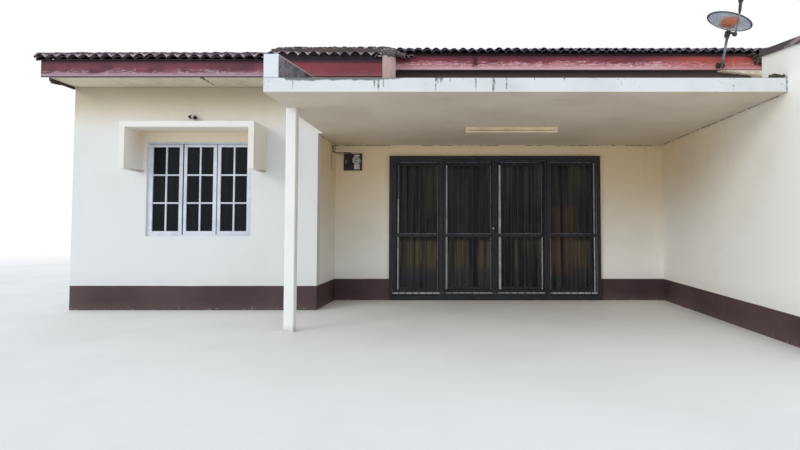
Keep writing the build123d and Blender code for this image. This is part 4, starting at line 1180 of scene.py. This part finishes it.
def eaves_wedge():
    """A wedge of mortar under the right end of the set-back fascia: a strip whose lower edge falls
    85 mm over its length with small waves, carried 90 mm forward from the wall."""
    count = 24
    place = np.linspace(0, 1, count)
    wave = 0.004 * np.sin(place * 31) + 0.003 * np.sin(place * 57 + 1)
    x = 4.42 + 0.74 * place
    low = 3.640 - 0.085 * place + wave * np.sin(place * np.pi)
    x = np.concatenate([x, x[::-1]])
    z = np.concatenate([low, np.full(count, 3.6405)])
    middle = np.array([x.mean(), z.mean()])
    outline = np.stack([x - middle[0], middle[1] - z], 1)
    start, end = [middle[0], -1.986, middle[1]], [middle[0], -1.891, middle[1]]
    shape = bars([start], [end], [(1, 0, 0)], outline)
    weld(new_piece("eaves_wedge", *shape, WEDGE, slot="wall_plaster", smooth=False))


WEDGE = enamel("wedge_mortar", (222, 210, 190), (188, 172, 148), size=0.12, rough=0.75)
eaves_wedge()

# Trims and small fittings

TRIM = enamel("trim_paint", (58, 44, 42), (38, 30, 30), size=0.15, rough=0.6)
trim_starts = [(-5.103, -3.463, 3.098), (-5.103, 5.632, 3.098), (-5.100, -3.440, 3.072)]
trim_ends = [(-5.103, -2.992, 3.098), (-5.103, 6.103, 3.098), (-5.100, -3.270, 3.088)]
shape = bars(trim_starts, trim_ends, (1, 0, 0), rounded(0.024, 0.044, 0.004))
weld(new_piece("soffit_end_trims", *shape, TRIM, slot="fascia_paint", smooth=False))


def door_beads(name, face, body, finish, runs):
    """Beads on the doors that show past the grille: each run stands upright at an X place between two
    heights, or lies at a height between two X places, with a width. All stand 2 mm behind a face."""
    shapes = []
    for kind, place, low, high, width in runs:
        ends = [(place, face + 0.002, level) for level in (low, high)]
        if kind == "level":
            ends = [(along, face + 0.002, place) for along in (low, high)]
        across = (1, 0, 0) if kind == "up" else (0, 0, 1)
        shapes.append(bars(*ends, across, rounded(width, 0.008, 0.002)))
    weld(new_piece(name, *together(*shapes), finish, body, slot="door_aluminium", smooth=False))


BEAD = enamel("bead_white", (226, 228, 230), (176, 178, 178), size=0.12, rough=0.4)
DIM_BEAD = enamel("bead_grey", (132, 130, 138), (88, 86, 94), size=0.12, rough=0.5)
STILL = (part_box("fixed_door_panels")[0].y, "house")
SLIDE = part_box("sliding_door_left")[0].y
LEFT, RIGHT = (SLIDE, "left_glass_door"), (SLIDE, "right_glass_door")
HEAD = (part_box("door_frame")[0].y, "house")
BEADS = {
    "beads_fixed": (*STILL, BEAD, (
        ("up", -0.681, 0.16, 0.995, 0.022),
        ("up", -0.681, 1.045, 1.60, 0.022),
        ("up", 1.752, 0.16, 0.99, 0.012),
    )),
    "beads_left": (*LEFT, BEAD, (
        ("up", 0.094, 0.17, 0.995, 0.026),
        ("up", 0.094, 1.045, 2.14, 0.022),
    )),
    "beads_right": (*RIGHT, BEAD, (
        ("up", 0.942, 0.17, 0.995, 0.038),
        ("up", 0.940, 1.045, 1.60, 0.036),
        ("up", 0.940, 1.60, 2.14, 0.026),
        ("up", 1.614, 0.17, 0.99, 0.014),
    )),
    "beads_jamb": (*HEAD, BEAD, (
        ("up", 2.444, 0.13, 0.99, 0.014),
        ("up", 2.440, 1.04, 2.17, 0.012),
    )),
    "rails_fixed": (*STILL, DIM_BEAD, (
        ("up", -0.681, 1.60, 2.14, 0.012),
        ("up", -0.048, 0.16, 2.14, 0.012),
        ("up", 1.752, 1.04, 2.14, 0.010),
        ("level", 1.047, -0.69, -0.04, 0.013),
        ("level", 1.047, 1.74, 2.42, 0.013),
    )),
    "rails_left": (*LEFT, DIM_BEAD, (
        ("up", 0.797, 0.17, 2.14, 0.014),
        ("level", 1.047, 0.10, 0.79, 0.013),
    )),
    "rails_right": (*RIGHT, DIM_BEAD, (
        ("up", 1.608, 1.05, 2.14, 0.010),
        ("level", 1.047, 0.93, 1.60, 0.013),
    )),
    "rails_head": (*HEAD, DIM_BEAD, (
        ("level", 2.184, -0.67, -0.05, 0.011),
        ("level", 2.184, 0.09, 0.79, 0.012),
        ("level", 2.184, 0.95, 1.59, 0.012),
        ("level", 2.184, 1.75, 2.42, 0.011),
    )),
}
for name, rest in BEADS.items():
    door_beads(name, *rest)

LIGHT_PLASTIC = enamel("insulator_white", (226, 222, 214), (186, 180, 170), size=0.03, rough=0.3)
DARK_STEEL = enamel("dark_steel", (48, 40, 38), (28, 24, 26), size=0.04, rough=0.5)
CONDUIT = enamel("conduit_grey", (196, 184, 162), (158, 146, 124), size=0.1, rough=0.5)


def insulator_rack():
    """A rack on the front room's porch face: a plate with an arm above and below, a rod between
    them, and three waisted insulators on the rod."""
    low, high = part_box("cable_bracket")
    x, y = low.x, (low.y + high.y) / 2
    plate = bars((x + 0.004, y, 2.312), (x + 0.004, y, 2.418), (0, 1, 0), rounded(0.040, 0.006, 0.001))
    levels = np.array([2.316, 2.414])
    starts = np.stack([np.full(2, x + 0.002), np.full(2, y), levels], 1)
    ends = starts + [0.060, 0, 0]
    arms = bars(starts, ends, (0, 1, 0), rounded(0.024, 0.006, 0.001))
    hooks = [
        tube([(x + 0.05, y + side * 0.02, level), (x + 0.052, y + side * 0.045, level + 0.01)], 0.005)
        for side, level in ((1, 2.34), (-1, 2.375), (1, 2.40))
    ]
    rod = tube([(x + 0.048, y, 2.311), (x + 0.048, y, 2.419)], 0.005)
    shape = together(plate, arms, rod, *hooks)
    rack = weld(new_piece("insulator_rack", *shape, DARK_STEEL, slot="mast_steel", smooth=False))
    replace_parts(rack, "cable_bracket")
    profile = [(0, 0), (0.020, 0), (0.023, 0.004), (0.020, 0.009), (0.013, 0.013)]
    profile += [(0.020, 0.018), (0.022, 0.023), (0.019, 0.027), (0, 0.027)]
    reels = [turned(profile, (x + 0.048, y, level), (0, 0, 1), 20) for level in (2.321, 2.352, 2.383)]
    weld(new_piece("insulator_reels", *together(*reels), LIGHT_PLASTIC, slot="lamp_white"))


insulator_rack()


DROP = [(-1.667, -2.205, 2.458), (-1.667, -2.205, 2.030)]
TO_METER = [
    (-1.660, -2.050, 2.350),
    (-1.664, -1.930, 2.335),
    (-1.640, -1.899, 2.330),
    (-1.500, -1.898, 2.336),
    (-1.430, -1.898, 2.333),
    (-1.405, -1.900, 2.305),
]
TO_BOARD = [(-1.640, -1.900, 2.300), (-1.545, -1.899, 2.302), (-1.520, -1.899, 2.285)]
CONDUITS = (
    ("conduit_drop", DROP, 0.0085, CONDUIT),
    ("conduit_meter", TO_METER, 0.006, DARK_STEEL),
    ("conduit_eaves", TO_BOARD, 0.0045, CONDUIT),
)
for name, path, radius, finish in CONDUITS:
    # Round tubes whose corners are eased
    path = eased(spread(path, 40), 3)
    weld(new_piece(name, *tube(path, radius, 10), finish, slot="mast_steel"))


def meter_face():
    """The meter's rim and face: a rolled rim round a flat glass, and two raised register windows."""
    rim = [(0, 0.003), (0.045, 0.003), (0.048, 0.008), (0.053, 0.010)]
    rim += [(0.058, 0.006), (0.060, 0), (0.060, -0.006), (0, -0.006)]
    centre = np.array([METER_X, -1.992, METER_Z])
    weld(new_piece("meter_face", *turned(rim, centre, (0, -1, 0), 40), METER, slot="mast_steel"))
    middles = centre + [[0, -0.004, 0.019], [0, -0.004, -0.017]]
    halves = np.array([[0.024, 0, 0], [0.016, 0, 0]])
    shape = bars(middles - halves, middles + halves, UP, rounded(0.014, 0.006, 0.002))
    weld(new_piece("meter_windows", *shape, DARK_STEEL, slot="board_plastic", smooth=False))


METER = enamel("meter_silver", (196, 200, 200), (150, 152, 152), size=0.05, rough=0.3)
meter_face()


def spotlight():
    """The twin spotlight over the hood: a pale domed wall plate, a small dome in front of it, and two
    dark bell-shaped heads on short bent arms, turned down to either side."""
    centre = np.array([-3.398, -2.991, 2.676])
    plate = turned([(0, 0), (0.026, 0), (0.026, 0.006), (0.020, 0.014), (0, 0.018)], centre, (0, -1, 0), 24)
    profile = [(0, -0.016), (0.013, -0.014), (0.016, 0.0), (0.011, 0.012), (0, 0.016)]
    dome = turned(profile, centre + [-0.004, -0.078, 0.006], UP, 20)
    bell = [(0, -0.030), (0.013, -0.029), (0.019, -0.016), (0.021, 0.0), (0.026, 0.016)]
    bell += [(0.027, 0.024), (0.023, 0.025), (0.018, 0.008), (0, 0.004)]
    shapes = []
    for hand in (-1, 1):
        head = centre + [hand * 0.028 - 0.004, -0.060, -0.004 * hand + 0.004]
        arm = [centre + [hand * 0.010, -0.012, 0.010], centre + [hand * 0.022, -0.030, 0.022]]
        arm.append(head + [0, 0.012, 0.014])
        shapes += [tube(arm, 0.006), turned(bell, head, (hand * 0.35, -0.62, -0.55), 24)]
    weld(new_piece("spotlight_plate", *together(plate, dome), LIGHT_PLASTIC, slot="lamp_white"))
    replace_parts(weld(new_piece("spotlight", *together(*shapes), SPOT, slot="lamp_white")), "wall_spotlight")


SPOT = enamel("spotlight_paint", (66, 62, 68), (40, 38, 46), size=0.03, rough=0.4)
spotlight()
profile = [(0, 0), (0.013, 0), (0.013, 0.004), (0.010, 0.008), (0, 0.009)]
shape = turned(profile, (0.832, -1.981, 1.132), (0, -1, 0), 20)
weld(new_piece("lock_cylinder", *shape, METER, "left_grille_leaf", slot="mast_steel"))

# Finishes of the imported nodes

# The window hood's recess on the front wall, which gets tan painted shade
RECESS = ((-4.13, -2.44), (1.95, 2.50))
# Walls under the canopy: cream painted shade from low down, black painted shade in streaks above the canopy,
# and a painted shadow line under it; the wing wall's cream is painted shade towards the canopy and the porch
PORCH = {"warm": (0.5, 2.3, 0.95), "shade_from": 2.95, "shadow_line_at": 2.452}
WING = {"warm": (0.9, 2.3, 0.9), "deep": (-5.8, -2.5), "shadow_line_at": 2.456, "fall": 0.0115}
# Each wall: its node, its finish's name, the sides with a dado, its dado, and what differs
WALLS = (
    ("front_wall", "front_wall_paint", ("y0", "x1"), DADO, {"recess": RECESS}),
    ("gable_wall", "gable_wall_paint", ("x0",), DADO, {}),
    ("rear_wall", "rear_wall_paint", ("y1", "x0"), DADO, {}),
    ("porch_side_wall", "porch_side_paint", ("x1",), DADO, PORCH),
    ("entrance_wall_left", "entrance_left_paint", ("y0",), DADO, PORCH),
    ("entrance_wall_right", "entrance_right_paint", ("y0",), DADO, PORCH),
    ("entrance_wall_top", "entrance_top_paint", ("y0",), 0.0, PORCH),
    ("party_wall", "party_wall_paint", ("x1",), 0.0, {}),
    ("wing_wall", "wing_wall_paint", ("x0", "y0", "x1"), DADO, WING),
)
walls = {node: plaster(name, node, sides, dado, **more) for node, name, sides, dado, more in WALLS}
MAROON, DEEP = (124, 66, 76), (92, 50, 60)
WORN = (148, 104, 114), (196, 178, 188)
HIGH_WORN = (206, 134, 140), (236, 214, 222)
FASCIA = {
    "front_fascia": fascia_paint(
        "low_fascia_paint", "front_fascia", MAROON, DEEP, *WORN, 0.40, bare_from=-2.3
    ),
    "porch_fascia": fascia_paint(
        "high_fascia_paint",
        "porch_fascia",
        (142, 66, 76),
        (110, 50, 62),
        *HIGH_WORN,
        0.52,
        orange=(3.4, 4.4),
        spots=((0.546, 0.055),),
    ),
    "rear_fascia": fascia_paint("rear_fascia_paint", "rear_fascia", MAROON, DEEP, *WORN, 0.36),
    "gable_bargeboard": enamel(
        "bargeboard_paint", (138, 78, 88), (112, 60, 70), rough=0.45, wear=(196, 170, 174)
    ),
    "eaves_return_board": return_board_paint(),
    # The tilting fillet is near black: painted shade under the tile ends
    "tilting_fillet": enamel("fillet_painted_shade", (44, 34, 42), (26, 22, 26), size=0.12, rough=0.8),
    "wing_wall_coping": coping_clay(),
}
GRILLE = enamel("grille_enamel", (29, 30, 42), (19, 19, 27), 0.2, 0.5, (50, 42, 44))
ALUMINIUM = plain_metal("door_aluminium_finish", (40, 40, 47), (28, 28, 34), rough=0.5, metal=0.1)
# Dark glass colours: painted shade of the unlit rooms behind the doors and windows
GLASS = dark_glass("door_glass", (24, 25, 26), 0.8, curtains=True)
WINDOW_GLASS = dark_glass("window_glass_finish", (12, 20, 26), 0.2)
SOFFIT = soffit_boards("front_soffit_boards", (-3.09,), (-4.32, -3.80, -1.95))
INNER = soffit_boards("inner_soffit_boards", (), (-3.7, -2.45, -1.2, 0.05, 1.3, 2.55, 3.8))
finishes = {
    **walls,
    **FASCIA,
    "porch_canopy": canopy_paint(),
    "canopy_kerb": kerb_paint(),
    "porch_column": white_render("column_render", 0.15),
    "window_hood": hood_render(),
    "floor_slab": floor_cement(),
    "front_soffit": SOFFIT,
    "door_frame": door_frame_paint(),
    "porch_lamp": enamel("lamp_enamel", (248, 228, 194), (222, 200, 166), size=0.2, rough=0.3),
    "meter_board": meter_board_paint(),
    "dish_mast": STEEL,
}
# Finishes that several nodes share
SHARED = (
    (INNER, ("rear_soffit", "ceiling")),
    (FRAME_WHITE, (
        "front_window_frame",
        "front_window_casements",
        "plain_window_frame",
        "plain_window_casements",
    )),
    (WINDOW_GLASS, ("front_window_glass", "plain_window_glass")),
    (GLASS, ("fixed_door_glass", "sliding_door_glass_left", "sliding_door_glass_right")),
    (ALUMINIUM, ("fixed_door_panels", "sliding_door_left", "sliding_door_right")),
    (GRILLE, (
        "grille_frame",
        "grille_side_left",
        "grille_side_right",
        "grille_leaf_left",
        "grille_leaf_right",
        "grille_lock",
    )),
)
finishes.update({node: finish for finish, names in SHARED for node in names})
for node, finish in finishes.items():
    nodes[node].material_slots[0].material = finish

# Floor, light and camera


def studio():
    """A pale floor, a white surround for the camera and for gloss, and soft light from the front."""
    paint = Finish("floor_pale")
    cloud = paint.noise(1.5, detail=4)
    colour = paint.mixed((240, 239, 236), (234, 233, 230), cloud.rise(0.4, 0.7))
    paint.close(colour, 0.8)
    out = paint.tree.nodes["Material Output"]
    shader = Field(paint.tree, paint.tree.nodes["Principled BSDF"].outputs[0])
    seen = paint.add("LightPath")
    far = (paint.x * paint.x + paint.y * paint.y).maths("SQRT").rise(11.0, 24.0)
    white = paint.add("Emission", sockets={"Color": (1, 1, 1, 1), "Strength": 1.0})
    mixed = paint.add("MixShader", sockets={0: seen * far, 1: shader, 2: white})
    paint.tree.links.new(mixed.socket, out.inputs["Surface"])
    edge = 60.0
    corners = np.array([[-edge, -edge, 0], [edge, -edge, 0], [edge, edge, 0], [-edge, edge, 0]])
    mesh = bpy.data.meshes.new("floor")
    mesh.from_pydata(corners, [], [(0, 1, 2, 3)])
    mesh.materials.append(paint.material)
    floor = bpy.data.objects.new("floor", mesh)
    bpy.context.scene.collection.objects.link(floor)

    world = bpy.data.worlds.new("surround")
    bpy.context.scene.world = world
    world.use_nodes = True
    tree = world.node_tree
    back = tree.nodes["Background"]
    path = tree.nodes.new("ShaderNodeLightPath")
    kinds = ("Is Camera Ray", "Is Glossy Ray", "Is Transmission Ray")
    camera_ray, gloss, through = (Field(tree, path.outputs[kind]) for kind in kinds)
    direct = (camera_ray + gloss + through).least(1.0)
    sockets = {0: direct, 6: (0.86, 0.93, 1.0, 1), 7: (1, 1, 1, 1)}
    colour = direct.add("Mix", {"data_type": "RGBA"}, sockets, output=2)
    tree.links.new(colour.socket, back.inputs["Color"])

    sun = bpy.data.lights.new("low_lamp", "SUN")
    sun.energy = 0.70
    sun.angle = 0.4
    sun.color = (1.0, 0.98, 0.95)
    lamp = bpy.data.objects.new("low_lamp", sun)
    lamp.rotation_euler = np.radians([70, 0, -42])
    bpy.context.scene.collection.objects.link(lamp)


studio()

view = bpy.data.cameras.new("camera")
view.lens = 25.2
view.sensor_width = 36
view.shift_x = -0.0771
view.shift_y = -0.025
view.clip_end = 200
camera = bpy.data.objects.new("camera", view)
camera.location = (0.335, -10.780, 1.12)
camera.rotation_euler = (np.radians(90 + 2.46), 0, 0)
bpy.context.scene.collection.objects.link(camera)
bpy.context.scene.camera = camera
bpy.context.scene.view_settings.view_transform = "Standard"
